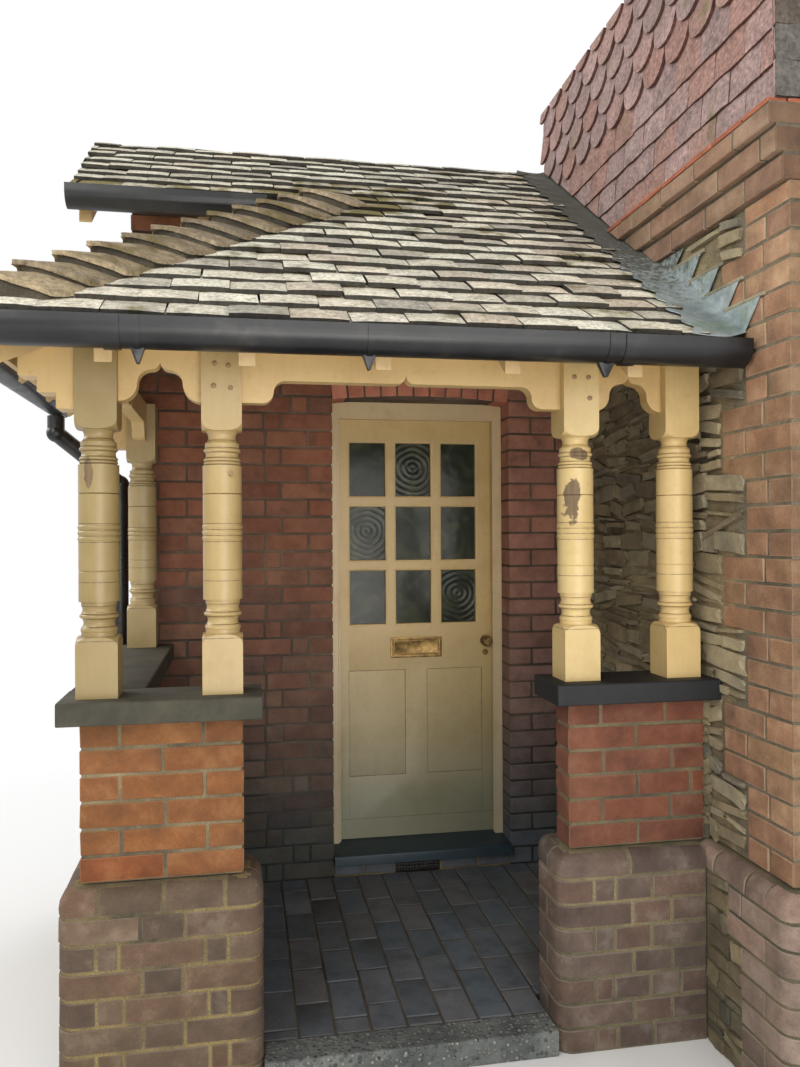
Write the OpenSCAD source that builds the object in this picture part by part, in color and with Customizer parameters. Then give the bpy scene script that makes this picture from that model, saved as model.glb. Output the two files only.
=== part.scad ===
// Entrance porch in the corner between a house wall and a projecting wing.
// Two brick dwarf walls on bullnose plinths carry turned timber posts, cut frets
// and a hipped roof of plain tiles. Origin: middle of the entrance, at ground
// level, in the front face of the upper brickwork. X right, Y into the house.

/* [Layout] */
// Clear width of the entrance between the upper brick piers
entrance_w = 1000; // [940:1:1100]
// Distance from the front of the piers to the house wall
porch_depth = 1285; // [1200:5:1400]
// Width of each front pier, two bricks long
pier_w = 457; // [440:1:480]
// Gap between the right pier and the wing, packed with stone and mortar
infill_w = 33; // [25:1:60]
// Thickness of the half brick dwarf walls
dwarf_t = 114; // [102:1:120]
// Thickness of the house wall and of the wing's side wall
wall_t = 225; // [215:5:250]
// Height of the porch floor above the ground
floor_h = 80; // [60:5:90]

/* [Brickwork] */
// Height of one brick course with its joint
course_h = 76.2; // [72:0.1:78]
// Courses in the plinth
plinth_courses = 8; // [7:1:9]
// Courses in the upper dwarf walls
upper_courses = 6; // [5:1:7]
// How far the plinth stands out beyond the wall above
plinth_out = 55; // [45:1:60]
// Radius of the bullnose on the top course and the corners
bullnose_r = 48; // [35:1:54]
// Thickness of the coping
coping_h = 66; // [55:1:75]
// How far the coping stands out beyond the wall
coping_out = 55; // [40:1:60]

/* [Posts] */
// Side of the square blocks of a post
post_w = 116; // [105:1:125]
// How far the outer posts stand past the ends of the brickwork
post_over = 10; // [0:1:15]
// Height of the base block up to its corner shoulders
base_block_h = 145; // [130:1:160]
// Height from the coping to the shoulders of the top block
top_block_z = 798; // [770:1:820]
// Height from the coping to the top of a post
post_h = 1009; // [980:1:1040]

/* [Frets] */
// Thickness of the cut boards between the posts
fret_t = 50; // [35:1:60]
// Height of the underside of the middle fret above the coping
fret_z = 922; // [900:1:940]
// Drop of the end brackets below the middle fret
bracket_drop = 68; // [50:1:80]
// Height of the bay frets' lowest edge above the coping
bay_lip_z = 852; // [830:1:870]

/* [Roof] */
// Pitch of the roof slopes in degrees
pitch = 34.5; // [32:0.5:38]
// How far the front eave stands out from the piers
eave_front = 200; // [160:5:240]
// How far the side eave stands out from the left pier
eave_side = 285; // [260:5:320]
// Height of the tiles' lower edge above the ground
eave_z = 2192; // [2170:1:2210]
// Thickness of tiles, battens and boards, square to the slope
roof_t = 45; // [40:1:55]
// Depth of a rafter, square to the slope
rafter_d = 100; // [90:1:110]
// Width of a rafter
rafter_w = 48; // [40:1:60]
// Distance of the main eave in front of the house wall
main_eave_out = 400; // [350:5:450]
// How far the main roof stands out past the left end of the house wall
verge_out = 176; // [120:2:200]

/* [Rainwater goods] */
// Width of the front and side gutters
gutter_w = 115; // [100:1:125]
// Depth of the gutters
gutter_h = 78; // [65:1:85]
// Wall thickness of gutters and pipe
gutter_t = 3; // [2.5:0.1:4]
// Outer diameter of the downpipe
pipe_d = 68; // [60:1:75]

/* [Door] */
// Width of the door leaf
leaf_w = 755; // [711:1:813]
// Height of the door leaf
leaf_h = 1950; // [1930:1:2032]
// Thickness of the door leaf
leaf_t = 44; // [40:1:50]
// Distance of the leaf's left edge from the middle of the entrance
leaf_x = -72; // [-90:1:-60]
// Height of the underside of the leaf above the ground
leaf_z = 186; // [180:1:195]
// How far the frame stands back from the face of the house wall
reveal = 120; // [90:5:125]
// Gap between the leaf and its frame
leaf_gap = 5; // [5:0.5:7]

/* [Wing] */
// Distance from the front corner of the wing to the front of the piers
wing_front = 415; // [380:5:450]
// Height of the top of the wing's side wall
wing_h = 3650; // [3600:5:3700]
// Underside of the corbelled string course
string_z = 2570; // [2540:5:2600]
// Width of the wide quoin courses
quoin_long = 355; // [340:1:400]
// Width of the narrow quoin courses
quoin_short = 225; // [210:1:260]

/* [Hidden] */

$fn = 48;
pier_in = entrance_w / 2;
pier_out = pier_in + pier_w;
wing_x = pier_out + infill_w;
plinth_h = plinth_courses * course_h;
wall_top = plinth_h + upper_courses * course_h;
post_z = wall_top + coping_h;
post_top = post_z + post_h;
house_back = porch_depth + wall_t;
tan_p = tan(pitch);
roof_v = roof_t / cos(pitch);
rafter_v = rafter_d / cos(pitch);
eave_x = -pier_out - eave_side;
main_eave_y = porch_depth - main_eave_out;
verge_x = -pier_out - verge_out;
clear = 2;
far = 6000;

// Height of the tiled surface of the front slope over a depth y
function front_z(y) = eave_z + (y + eave_front) * tan_p;
// Height of the tiled surface of the side slope over a place x
function side_z(x) = eave_z + (x - eave_x) * tan_p;
// The hip stands over the line x = y + hip_shift
hip_shift = eave_x + eave_front;
// Points of an arc about a centre, from angle a to angle b
function arc(cx, cy, r, a, b, n = 10) =
  [for (i = [0:n]) [cx + r * cos(a + (b - a) * i / n), cy + r * sin(a + (b - a) * i / n)]];

// A block from corner to corner
module block(x0, x1, y0, y1, z0, z1)
  translate([x0, y0, z0]) cube([x1 - x0, y1 - y0, z1 - z0]);

// A profile drawn in Y and Z, run along X
module run_x(x0, x1) translate([x0, 0, 0]) rotate([90, 0, 90]) linear_extrude(x1 - x0) children();

// A profile drawn in X and Z, run along Y
module run_y(y0, y1) translate([0, y1, 0]) rotate([90, 0, 0]) linear_extrude(y1 - y0) children();

// A flat outline with two rounded upper corners, from a to b and up to h
module round_top(a, b, h, r) {
  difference() {
    translate([a, 0]) square([b - a, h]);
    translate([a - 1, h - r]) square([r + 1, r + 1]);
    translate([b - r, h - r]) square([r + 1, r + 1]);
  }
  translate([a + r, h - r]) circle(r);
  translate([b - r, h - r]) circle(r);
}

// A plan with four rounded corners
module round_plan(x0, x1, y0, y1, r) {
  translate([x0 + r, y0]) square([x1 - x0 - 2 * r, y1 - y0]);
  translate([x0, y0 + r]) square([x1 - x0, y1 - y0 - 2 * r]);
  for (x = [x0 + r, x1 - r], y = [y0 + r, y1 - r]) translate([x, y]) circle(r);
}

// A plinth block with bullnose bricks on its top edges and corners
module bullnose_block(x0, x1, y0, y1) intersection() {
  linear_extrude(plinth_h) round_plan(x0, x1, y0, y1, bullnose_r);
  run_y(y0, y1) round_top(x0, x1, plinth_h, bullnose_r);
  run_x(x0, x1) round_top(y0, y1, plinth_h, bullnose_r);
}

plinth_front = -plinth_out;
plinth_back = dwarf_t + plinth_out;

module left_plinth() color("#7d5a4c") union() {
  bullnose_block(-pier_out - plinth_out, -pier_in + plinth_out, plinth_front, plinth_back);
  intersection() {
    bullnose_block(-pier_out - plinth_out, -pier_out + dwarf_t + plinth_out,
                   plinth_front, porch_depth + plinth_out + bullnose_r);
    block(-far, 0, plinth_front, porch_depth, 0, far);
  }
}

module right_plinth() color("#7d5a4c") intersection() {
  bullnose_block(pier_in - plinth_out, wing_x + plinth_out, plinth_front, plinth_back);
  block(0, wing_x - plinth_out, -far, far, 0, far);
}

module left_front_wall() color("#b5623f")
  block(-pier_out, -pier_in, 0, dwarf_t, plinth_h, wall_top);

module left_side_wall() color("#b5623f")
  block(-pier_out, -pier_out + dwarf_t, dwarf_t, porch_depth, plinth_h, wall_top);

module right_front_wall() color("#b5623f")
  block(pier_in, pier_out, 0, dwarf_t, plinth_h, wall_top);

module mortar_infill() color("#8d8472")
  block(pier_out, wing_x, 12, dwarf_t - 12, plinth_h, wall_top);

// A coping profile over a wall from a to b: square edges with a small arris
module coping_profile(a, b) {
  arris = 5;
  translate([0, wall_top]) polygon([
    [a, 0], [b, 0], [b, coping_h - arris], [b - arris, coping_h],
    [a + arris, coping_h], [a, coping_h - arris]
  ]);
}

module left_front_coping() color("#77767a")
  run_x(-pier_out - coping_out, -pier_in + coping_out)
    coping_profile(-coping_out, dwarf_t + coping_out);

module left_side_coping() color("#77767a")
  run_y(dwarf_t + coping_out, porch_depth)
    coping_profile(-pier_out - coping_out, -pier_out + dwarf_t + coping_out);

module right_coping() color("#34353a")
  run_x(pier_in - coping_out, wing_x) coping_profile(-coping_out, dwarf_t + coping_out);

floor_front = plinth_front;
edge_w = 110;
inner_left = -pier_out + dwarf_t + plinth_out;
inner_right = wing_x - plinth_out;
step_in = pier_in - plinth_out;

module porch_floor() color("#6b5148") difference() {
  union() {
    block(-pier_in, pier_in, floor_front + edge_w, plinth_back, 0, floor_h);
    block(inner_left, inner_right, plinth_back, porch_depth, 0, floor_h);
  }
  left_plinth();
  right_plinth();
}

module floor_edge() color("#8f887c")
  block(-step_in, step_in, floor_front, floor_front + edge_w, 0, floor_h);

jamb_w = 33;
frame_x0 = leaf_x - leaf_gap - jamb_w + 8;
frame_x1 = leaf_x + leaf_w + leaf_gap + jamb_w - 8;
head_h = 64;
camber = 22;
frame_top = leaf_z + leaf_h + leaf_gap + head_h - 8;
frame_y = porch_depth + reveal;
stop_d = 35;
leaf_y = frame_y + stop_d + leaf_gap;
frame_d = stop_d + leaf_gap + leaf_t;
sill_h = 50;
sill_z = leaf_z - leaf_gap - sill_h;
arch_h = 225;
span = frame_x1 - frame_x0;
door_mid = (frame_x0 + frame_x1) / 2;
camber_r = (span * span / 4 + camber * camber) / (2 * camber);
camber_z = frame_top + camber - camber_r;

// The outline between the walls under the roof: a slope that meets the tiles' underside
module house_profile(z0) polygon([
  [porch_depth, z0], [house_back, z0],
  [house_back, front_z(house_back) - roof_v - clear],
  [porch_depth, front_z(porch_depth) - roof_v - clear]
]);

module house_wall_left() color("#84453a")
  run_x(-pier_out, frame_x0) house_profile(0);

module house_wall_right() color("#84453a")
  run_x(frame_x1, wing_x) house_profile(0);

// The cambered intrados over the door, as a disc in the wall's plane
module camber_disc(r) translate([door_mid, 0, camber_z]) rotate([-90, 0, 0])
  translate([0, 0, porch_depth - 10]) cylinder(r = r, h = wall_t + 20, $fn = 180);

module house_wall_over_door() color("#84453a") difference() {
  run_x(frame_x0, frame_x1) house_profile(frame_top);
  camber_disc(camber_r + arch_h);
}

module door_arch() color("#7d3f35") intersection() {
  difference() {
    block(frame_x0, frame_x1, porch_depth, house_back, frame_top, frame_top + arch_h + camber);
    camber_disc(camber_r);
  }
  camber_disc(camber_r + arch_h);
}

air_x = leaf_x + 249;
air_w = 200;

module sill_riser() color("#5b3f38") difference() {
  block(frame_x0, frame_x1, porch_depth, house_back, 0, sill_z);
  block(air_x, air_x + air_w, porch_depth - 1, porch_depth + 40, floor_h + 4, sill_z - 4);
}

module air_brick() color("#3a3a3a") difference() {
  block(air_x + 1, air_x + air_w - 1, porch_depth + 4, porch_depth + 40, floor_h + 4, sill_z - 4);
  for (i = [0:13], j = [0:2])
    translate([air_x + 3.5 + i * 14, porch_depth, floor_h + 7 + j * 14]) cube([10, 16, 9]);
}

module door_sill() color("#2f3034") run_x(frame_x0, frame_x1) polygon([
  [porch_depth - 30, sill_z], [house_back, sill_z], [house_back, sill_z + sill_h],
  [frame_y, sill_z + sill_h], [porch_depth - 26, sill_z + sill_h - 6],
  [porch_depth - 30, sill_z + sill_h - 10]
]);

module door_frame() color("#e3d3ac") difference() {
  intersection() {
    block(frame_x0, frame_x1, frame_y, frame_y + frame_d, sill_z + sill_h, frame_top + camber);
    camber_disc(camber_r);
  }
  block(leaf_x + 8, leaf_x + leaf_w - 8, frame_y - 1, frame_y + frame_d + 1,
        0, leaf_z + leaf_h - 8);
  block(leaf_x - leaf_gap, leaf_x + leaf_w + leaf_gap, frame_y + stop_d, frame_y + frame_d + 1,
        0, leaf_z + leaf_h + leaf_gap);
}

hinge_x = leaf_x - leaf_gap / 2;
hinge_y = frame_y + frame_d + 9;
hinge_r = 6.5;
knuckle = 33;

// The heights of the three hinges
hinge_zs = [leaf_z + 150, leaf_z + 900, leaf_z + leaf_h - 250];

module frame_hinges() color("#8d7a4a") for (z = hinge_zs) translate([hinge_x, hinge_y, z]) union() {
  cylinder(r = hinge_r, h = knuckle, $fn = 32);
  translate([0, 0, 2 * (knuckle + 1)]) cylinder(r = hinge_r, h = knuckle, $fn = 32);
  translate([-26, -9, 0]) cube([22, 3.5, 3 * knuckle + 2]);
  translate([-26, -6, 0]) cube([25, 3, knuckle]);
  translate([-26, -6, 2 * (knuckle + 1)]) cube([25, 3, knuckle]);
}

module leaf_hinges() color("#8d7a4a") for (z = hinge_zs) translate([hinge_x, hinge_y, z]) union() {
  translate([0, 0, knuckle + 1]) cylinder(r = hinge_r, h = knuckle, $fn = 32);
  translate([4, -9, 0]) cube([24, 3.5, 3 * knuckle + 2]);
  translate([1, -6, knuckle + 1]) cube([27, 3, knuckle]);
}

stile = 60;
lock_stile = 78;
bar = 35;
pane_top = leaf_h - 105;
pane_bottom = 985;
pane_cols = 3;
pane_rows = 3;
pane_w = (leaf_w - stile - lock_stile - (pane_cols - 1) * bar) / pane_cols;
pane_h = (pane_top - pane_bottom - (pane_rows - 1) * bar) / pane_rows;
panel_z0 = 289;
panel_z1 = 776;
muntin = 106;
panel_w = (leaf_w - 2 * stile - muntin) / 2;

// Repeats its children at the lower left corner of each pane
module each_pane() for (i = [0:pane_cols - 1], j = [0:pane_rows - 1])
  translate([leaf_x + stile + i * (pane_w + bar), leaf_y, leaf_z + pane_bottom + j * (pane_h + bar)])
    children();

module door_leaf() color("#e3d3ac") difference() {
  block(leaf_x, leaf_x + leaf_w, leaf_y, leaf_y + leaf_t, leaf_z, leaf_z + leaf_h);
  each_pane() translate([0, -1, 0]) cube([pane_w, leaf_t + 2, pane_h]);
  for (x = [stile, leaf_w - stile - panel_w])
    translate([leaf_x + x, 0, leaf_z + panel_z0]) {
      translate([0, leaf_y - 1, 0]) cube([panel_w, 5, panel_z1 - panel_z0]);
      translate([0, leaf_y + leaf_t - 12, 0]) cube([panel_w, 13, panel_z1 - panel_z0]);
    }
}

module door_glass() color("#8fa39a")
  each_pane() translate([0, leaf_t / 2 - 2, 0]) cube([pane_w, 4, pane_h]);

module letter_plate() color("#b59445")
  block(leaf_x + 255, leaf_x + 500, leaf_y - 6, leaf_y, leaf_z + 833, leaf_z + 928);

knob_x = leaf_x + leaf_w - 42;
knob_z = leaf_z + 903;

// A round knob on its rose, standing out along +Z
module knob(neck) {
  cylinder(r = 25, h = 5);
  cylinder(r = 11, h = neck);
  translate([0, 0, neck + 8]) intersection() {
    sphere(r = 25);
    translate([-30, -30, -14]) cube([60, 60, 32]);
  }
}

module door_knobs() color("#a58138") {
  translate([knob_x, leaf_y, knob_z]) rotate([90, 0, 0]) knob(34);
  translate([knob_x, leaf_y + leaf_t, knob_z]) rotate([-90, 0, 0]) knob(18);
  translate([knob_x, leaf_y, knob_z - 55]) rotate([90, 0, 0]) cylinder(r = 14, h = 4);
}

// Beads of a post: height above the coping, outer radius and half height
beads = [[192, 52, 9], [232, 55, 6], [454, 59, 8.5], [471, 59, 8.5], [488, 59, 8.5],
         [675, 54, 4.5], [685, 54, 4.5], [713, 54, 6], [731, 49, 3]];
// Coves of a post: height, depth of the hollow from the shaft and half height
coves = [[213, 12, 12], [251, 13, 10], [699, 13, 9], [752, 12, 16]];
shaft_r = 57;
neck_r = 47;
shaft_z0 = 274;
shaft_z1 = 668;
pommel = 30;

// Half the outline of the turned part, drawn as radius and height
module turned_outline() {
  difference() {
    union() {
      translate([0, base_block_h]) square([neck_r + 3, top_block_z - base_block_h]);
      translate([0, shaft_z0]) square([shaft_r, shaft_z1 - shaft_z0]);
    }
    for (c = coves) translate([neck_r + 3 + c[1], c[0]]) circle(r = c[2] + c[1] / 2, $fn = 32);
    for (z = [362, 584]) translate([shaft_r, z]) rotate(45) square(3, center = true);
  }
  for (b = beads) translate([b[1] - b[2], b[0]]) circle(r = b[2], $fn = 32);
}

// The shape that turning leaves on a square block: full up to z, then a quarter round
module pommel_outline(z) {
  square([100, z]);
  difference() {
    translate([0, z]) square([82, pommel]);
    translate([82 - pommel, z]) square([pommel + 1, pommel + 1]);
  }
  translate([82 - pommel, z]) circle(r = pommel, $fn = 64);
}

module post(x, y, h = post_h) translate([x, y, post_z]) union() {
  intersection() {
    translate([-post_w / 2, -post_w / 2, 0]) cube([post_w, post_w, base_block_h + pommel]);
    rotate_extrude() intersection() {
      pommel_outline(base_block_h);
      square([200, 400]);
    }
  }
  rotate_extrude() intersection() {
    turned_outline();
    translate([0, base_block_h]) square([200, top_block_z - base_block_h]);
  }
  translate([0, 0, h]) mirror([0, 0, 1]) intersection() {
    translate([-post_w / 2, -post_w / 2, 0]) cube([post_w, post_w, h - top_block_z + pommel]);
    rotate_extrude() intersection() {
      pommel_outline(h - top_block_z);
      square([200, 600]);
    }
  }
}

half_post = post_w / 2;
corner_x = -pier_out - post_over + half_post;
front_y = dwarf_t / 2;
back_post_y = porch_depth - half_post - 4;
left_inner_x = -pier_in - half_post;
right_inner_x = pier_in - post_over + half_post;
wall_post_x = pier_out - post_over - half_post;

module corner_post() color("#e6d6b0") post(corner_x, front_y);
module left_inner_post() color("#e6d6b0") post(left_inner_x, front_y);
module right_inner_post() color("#e6d6b0") post(right_inner_x, front_y);
module wall_post() color("#e6d6b0") post(wall_post_x, front_y);
module back_post() color("#e6d6b0") post(corner_x, back_post_y);

plate_h = 75;
plate_t = 100;
plate_top = post_top + plate_h;
side_plate_x = front_y + hip_shift;
corbel_step = 51;
corbel_rise = 46;
corbel_top = 47;
corbel_t = 90;
corbel_end = corner_x - half_post - 3 * corbel_step;

module front_plate() color("#dccba2")
  block(side_plate_x - plate_t / 2, wing_x, front_y - plate_t / 2, front_y + plate_t / 2,
        post_top, plate_top);

module side_plate() color("#dccba2")
  block(side_plate_x - plate_t / 2, side_plate_x + plate_t / 2, front_y + plate_t / 2, porch_depth,
        post_top, plate_top);

// A stepped beam end that stands out to the left of a post and carries the side plate
module corbel(y) run_y(y - corbel_t / 2, y + corbel_t / 2) polygon(concat(
  [[corner_x - half_post, post_top], [corbel_end, post_top]],
  [for (i = [1:3], s = [0, 1])
    [corbel_end + (i - 1 + s) * corbel_step, post_top - corbel_top - i * corbel_rise]]
));

module beam_corbels() color("#e3d3ac") for (y = [front_y, back_post_y]) corbel(y);

fret_y0 = front_y - fret_t / 2;
fret_y1 = front_y + fret_t / 2;

// A bay fret between posts w apart, its point in the middle
module bay_outline(w, top) {
  lip = w / 2 - 64;
  apex = bay_lip_z + 64 + lip;
  half = concat(
    [[0, apex]],
    arc(24, apex, 24, 180, 270, 6),
    arc(24, apex - 64, 40, 90, 0, 8),
    arc(w / 2, apex - 64, lip, 180, 270, 8)
  );
  polygon(concat(
    half, [[w / 2, top], [-w / 2, top]],
    [for (i = [len(half) - 1:-1:1]) [-half[i][0], half[i][1]]]
  ));
}

// The middle fret: flat underside, a pointed notch and a cut bracket at each end
module middle_outline(w, top) {
  r = bracket_drop / 2;
  flat = 60;
  half = concat(
    [[0, fret_z + 26]],
    arc(26, fret_z + 26, 26, 180, 270, 6),
    arc(w / 2 - flat - 2 * r, fret_z - r, r, 90, 0, 8),
    arc(w / 2 - flat, fret_z - r, r, 180, 270, 8),
    [[w / 2, fret_z - 2 * r]]
  );
  polygon(concat(
    half, [[w / 2, top], [-w / 2, top]],
    [for (i = [len(half) - 1:-1:1]) [-half[i][0], half[i][1]]]
  ));
}

module middle_fret() color("#e3d3ac")
  translate([(left_inner_x + right_inner_x) / 2, 0, post_z])
    run_y(fret_y0, fret_y1) middle_outline(right_inner_x - left_inner_x - post_w, post_h);

module left_bay_fret() color("#e3d3ac")
  translate([(corner_x + left_inner_x) / 2, 0, post_z])
    run_y(fret_y0, fret_y1) bay_outline(left_inner_x - corner_x - post_w, post_h);

module right_bay_fret() color("#e3d3ac")
  translate([(wall_post_x + right_inner_x) / 2, 0, post_z])
    run_y(fret_y0, fret_y1) bay_outline(wall_post_x - right_inner_x - post_w, post_h);

side_span = back_post_y - front_y - post_w;

module side_bay_fret() color("#e3d3ac")
  translate([corner_x - fret_t / 2, (front_y + back_post_y) / 2, post_z])
    rotate([90, 0, 90]) linear_extrude(fret_t) middle_outline(side_span, post_h);

rafter_gap = 385;
foot_y = -eave_front + 75;
foot_x = eave_x + 75;
hip_half = 25;
root2 = sqrt(2);

// The sloping outline of a rafter in Y and Z, from y0 to y1
module rafter_outline(y0, y1) polygon([
  [y0, front_z(y0) - roof_v - clear], [y1, front_z(y1) - roof_v - clear],
  [y1, front_z(y1) - roof_v - clear - rafter_v], [y0, front_z(y0) - roof_v - clear - rafter_v]
]);

// The same in X and Z for the side slope
module side_rafter_outline(x0, x1) polygon([
  [x0, side_z(x0) - roof_v - clear], [x1, side_z(x1) - roof_v - clear],
  [x1, side_z(x1) - roof_v - clear - rafter_v], [x0, side_z(x0) - roof_v - clear - rafter_v]
]);

// Everything on one side of the hip line: side 1 is the side slope, side -1 the front slope
module hip_side(side, off) translate([hip_shift, 0, 0]) rotate(45)
  translate([-far, side > 0 ? off : -off - far, 0]) cube([3 * far, far, far]);

// The room of the two plates, which the rafters are notched over
module plate_notch() {
  block(side_plate_x - plate_t / 2 - 1, wing_x, front_y - plate_t / 2 - 1,
        front_y + plate_t / 2 + 1, 0, plate_top);
  block(side_plate_x - plate_t / 2 - 1, side_plate_x + plate_t / 2 + 1, front_y,
        porch_depth, 0, plate_top);
}

front_rafters = [for (x = [-870:rafter_gap:wing_x - 40]) x];
side_rafters = [for (y = [250:rafter_gap:porch_depth - 40]) y];
main_rafters = [verge_x + rafter_w / 2 + 20, -640];

module rafters() color("#d9c8a0") difference() {
  union() {
    for (x = front_rafters) intersection() {
      run_x(x - rafter_w / 2, x + rafter_w / 2) rafter_outline(foot_y, porch_depth - clear);
      hip_side(-1, hip_half + 1);
    }
    for (y = side_rafters) intersection() {
      run_y(y - rafter_w / 2, y + rafter_w / 2)
        side_rafter_outline(foot_x, min(y + hip_shift, main_eave_y + hip_shift - 180));
      hip_side(1, hip_half + 1);
    }
    for (x = main_rafters)
      run_x(x - rafter_w / 2, x + rafter_w / 2) rafter_outline(main_eave_y + 75, porch_depth - clear);
  }
  plate_notch();
}

// The hip rafter drawn along the hip: distance from the line's start and height
hip_drop = hip_half / root2 * tan_p + roof_v + clear + 1;
hip_depth = 130;

module hip_rafter() color("#d9c8a0") {
  u0 = foot_y * root2 + hip_half + 1;
  u1 = (porch_depth - clear) * root2 - hip_half;
  difference() {
    translate([hip_shift, 0, 0]) rotate(45) run_y(-hip_half, hip_half) polygon([
      [u0, front_z(u0 / root2) - hip_drop], [u1, front_z(u1 / root2) - hip_drop],
      [u1, front_z(u1 / root2) - hip_drop - hip_depth], [u0, front_z(u0 / root2) - hip_drop - hip_depth]
    ]);
    plate_notch();
    // the seat over the corner corbel
    block(-far, 0, front_y - corbel_t / 2 - clear, front_y + corbel_t / 2 + clear, 0, post_top + clear);
  }
}

fascia_t = 20;
fascia_z0 = eave_z - 86;

// Narrow boards across the rafter feet, mitred at the corner
module fascia() color("#e3d3ac") {
  intersection() {
    run_x(eave_x, wing_x) polygon([
      [foot_y - fascia_t, fascia_z0], [foot_y, fascia_z0],
      [foot_y, front_z(foot_y) - roof_v - clear],
      [foot_y - fascia_t, front_z(foot_y - fascia_t) - roof_v - clear]
    ]);
    hip_side(-1, 0);
  }
  intersection() {
    run_y(-eave_front, porch_depth) polygon([
      [foot_x - fascia_t, fascia_z0], [foot_x, fascia_z0],
      [foot_x, side_z(foot_x) - roof_v - clear],
      [foot_x - fascia_t, side_z(foot_x - fascia_t) - roof_v - clear]
    ]);
    hip_side(1, 1);
  }
  translate([0, main_eave_y + eave_front, front_z(main_eave_y) - eave_z])
    run_x(verge_x + 20, main_eave_y + hip_shift - 230) polygon([
      [foot_y - fascia_t, fascia_z0 + 20], [foot_y, fascia_z0 + 20],
      [foot_y, front_z(foot_y) - roof_v - clear],
      [foot_y - fascia_t, front_z(foot_y - fascia_t) - roof_v - clear]
    ]);
}

tile_v = 24;
eave_lap = foot_y - fascia_t;

module front_roof_slope() color("#6e5f52") union() {
  intersection() {
    run_x(-far, wing_x) polygon([
      [-eave_front, eave_z], [-eave_front, eave_z - tile_v],
      [eave_lap, front_z(eave_lap) - tile_v], [eave_lap, front_z(eave_lap) - roof_v],
      [main_eave_y, front_z(main_eave_y) - roof_v], [main_eave_y, front_z(main_eave_y)]
    ]);
    hip_side(-1, 0);
  }
  run_x(verge_x, wing_x) polygon([
    [main_eave_y, front_z(main_eave_y)], [main_eave_y, front_z(main_eave_y) - tile_v],
    [main_eave_y + eave_lap + eave_front, front_z(main_eave_y + eave_lap + eave_front) - tile_v],
    [main_eave_y + eave_lap + eave_front, front_z(main_eave_y + eave_lap + eave_front) - roof_v],
    [house_back, front_z(house_back) - roof_v], [house_back, front_z(house_back)]
  ]);
}

hip_back = 120;

module side_roof_slope() color("#6e5f52") intersection() {
  run_y(-eave_front, porch_depth) polygon([
    [eave_x, eave_z], [eave_x, eave_z - tile_v],
    [foot_x - fascia_t, side_z(foot_x - fascia_t) - tile_v],
    [foot_x - fascia_t, side_z(foot_x - fascia_t) - roof_v],
    [far, side_z(far) - roof_v], [far, side_z(far)]
  ]);
  linear_extrude(far) polygon([
    [eave_x, -eave_front], [main_eave_y + hip_shift, main_eave_y],
    [main_eave_y + hip_shift - hip_back, main_eave_y],
    [porch_depth + hip_shift - hip_back, porch_depth], [eave_x, porch_depth]
  ]);
}

hip_angle = atan(tan_p / root2);
tile_rows = 13;
gauge_u = (main_eave_y + eave_front) / tile_rows * root2;
bonnet_w = 141;
bonnet_l = 255;
bonnet_t = 14;
bonnet_up = 68;
bonnet_drop = 70;
bonnet_tilt = hip_angle - 15;
bonnets = 12;
first_bonnet = 66;

// A line across a bonnet tile, rounded at the crown and falling to both wings
function bonnet_line(w, up) = [for (k = [-6:6]) let (v = w * k / 6)
  [v, up - bonnet_drop * (sqrt(v * v + 1600) - 40) / (sqrt(bonnet_w * bonnet_w + 1600) - 40)]];

function backwards(line) = [for (k = [len(line) - 1:-1:0]) line[k]];

// A length of a bonnet section whose mouth runs along the tile courses of both slopes
module bonnet_run(inset) intersection() {
  translate([inset, 0, -250]) linear_extrude(500)
    polygon([[0, 0], [180, 180], [400, 180], [400, -180], [180, -180]]);
  rotate([0, -bonnet_tilt, 0]) translate([-40, 0, 0]) rotate([90, 0, 90])
    linear_extrude(bonnet_l + 40) children();
}

module hip_tiles() color("#5b5048") difference() {
  translate([hip_shift, 0, 0]) rotate(45) union()
    for (i = [0:bonnets - 1]) let (u = first_bonnet + i * gauge_u)
      translate([u - eave_front * root2, 0, eave_z + u * tan(hip_angle) + bonnet_up]) union() {
        bonnet_run(0) polygon(concat(bonnet_line(bonnet_w, 0), backwards(bonnet_line(bonnet_w, -bonnet_t))));
        // mortar that the tile is bedded on
        bonnet_run(14) polygon(concat(bonnet_line(126, -bonnet_t + 4), [[126, -160], [-126, -160]]));
      }
  // the room of the two slopes
  intersection() {
    run_x(-far, far) polygon([
      [-1000, 0], [far, 0], [far, front_z(far) + lead_gap], [-1000, front_z(-1000) + lead_gap]
    ]);
    union() {
      run_y(-far, far) polygon([
        [-2000, 0], [far, 0], [far, side_z(far) + lead_gap], [-2000, side_z(-2000) + lead_gap]
      ]);
      block(verge_x, far, main_eave_y - 1, far, 0, far);
    }
  }
  block(-far, far, main_eave_y - 70, far, 0, front_z(main_eave_y) - roof_v);
}

lead_w = 170;
lead_t = 5;
lead_gap = 0.5;

module lead_gutter() color("#7d848a")
  run_x(wing_x - lead_w, wing_x) polygon([
    [-eave_front, eave_z + lead_gap], [house_back, front_z(house_back) + lead_gap],
    [house_back, front_z(house_back) + lead_t], [-eave_front, eave_z + lead_t]
  ]);

step_run = course_h / tan_p;
flash_t = 4;
flash_up = 45;
flash_top = string_z - 1;
steps = floor((flash_top - flash_up - eave_z) / course_h);
flash_end = (flash_top - lead_t - eave_z) / tan_p - eave_front;

// Lead let into the joints of the wall in steps, up to the string course
module stepped_flashing() color("#858c92")
  run_x(wing_x - flash_t, wing_x) polygon(concat(
    [[flash_end, flash_top], [-eave_front, eave_z + lead_t]],
    [for (k = [0:steps - 1], s = [0, 1])
      [-eave_front + (k + s) * step_run, eave_z + (k + 1) * course_h + flash_up]],
    [[-eave_front + steps * step_run, flash_top]]
  ));

gutter_drop = 26;
gutter_top = eave_z - gutter_drop;
gutter_r = gutter_w / 2;

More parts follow.
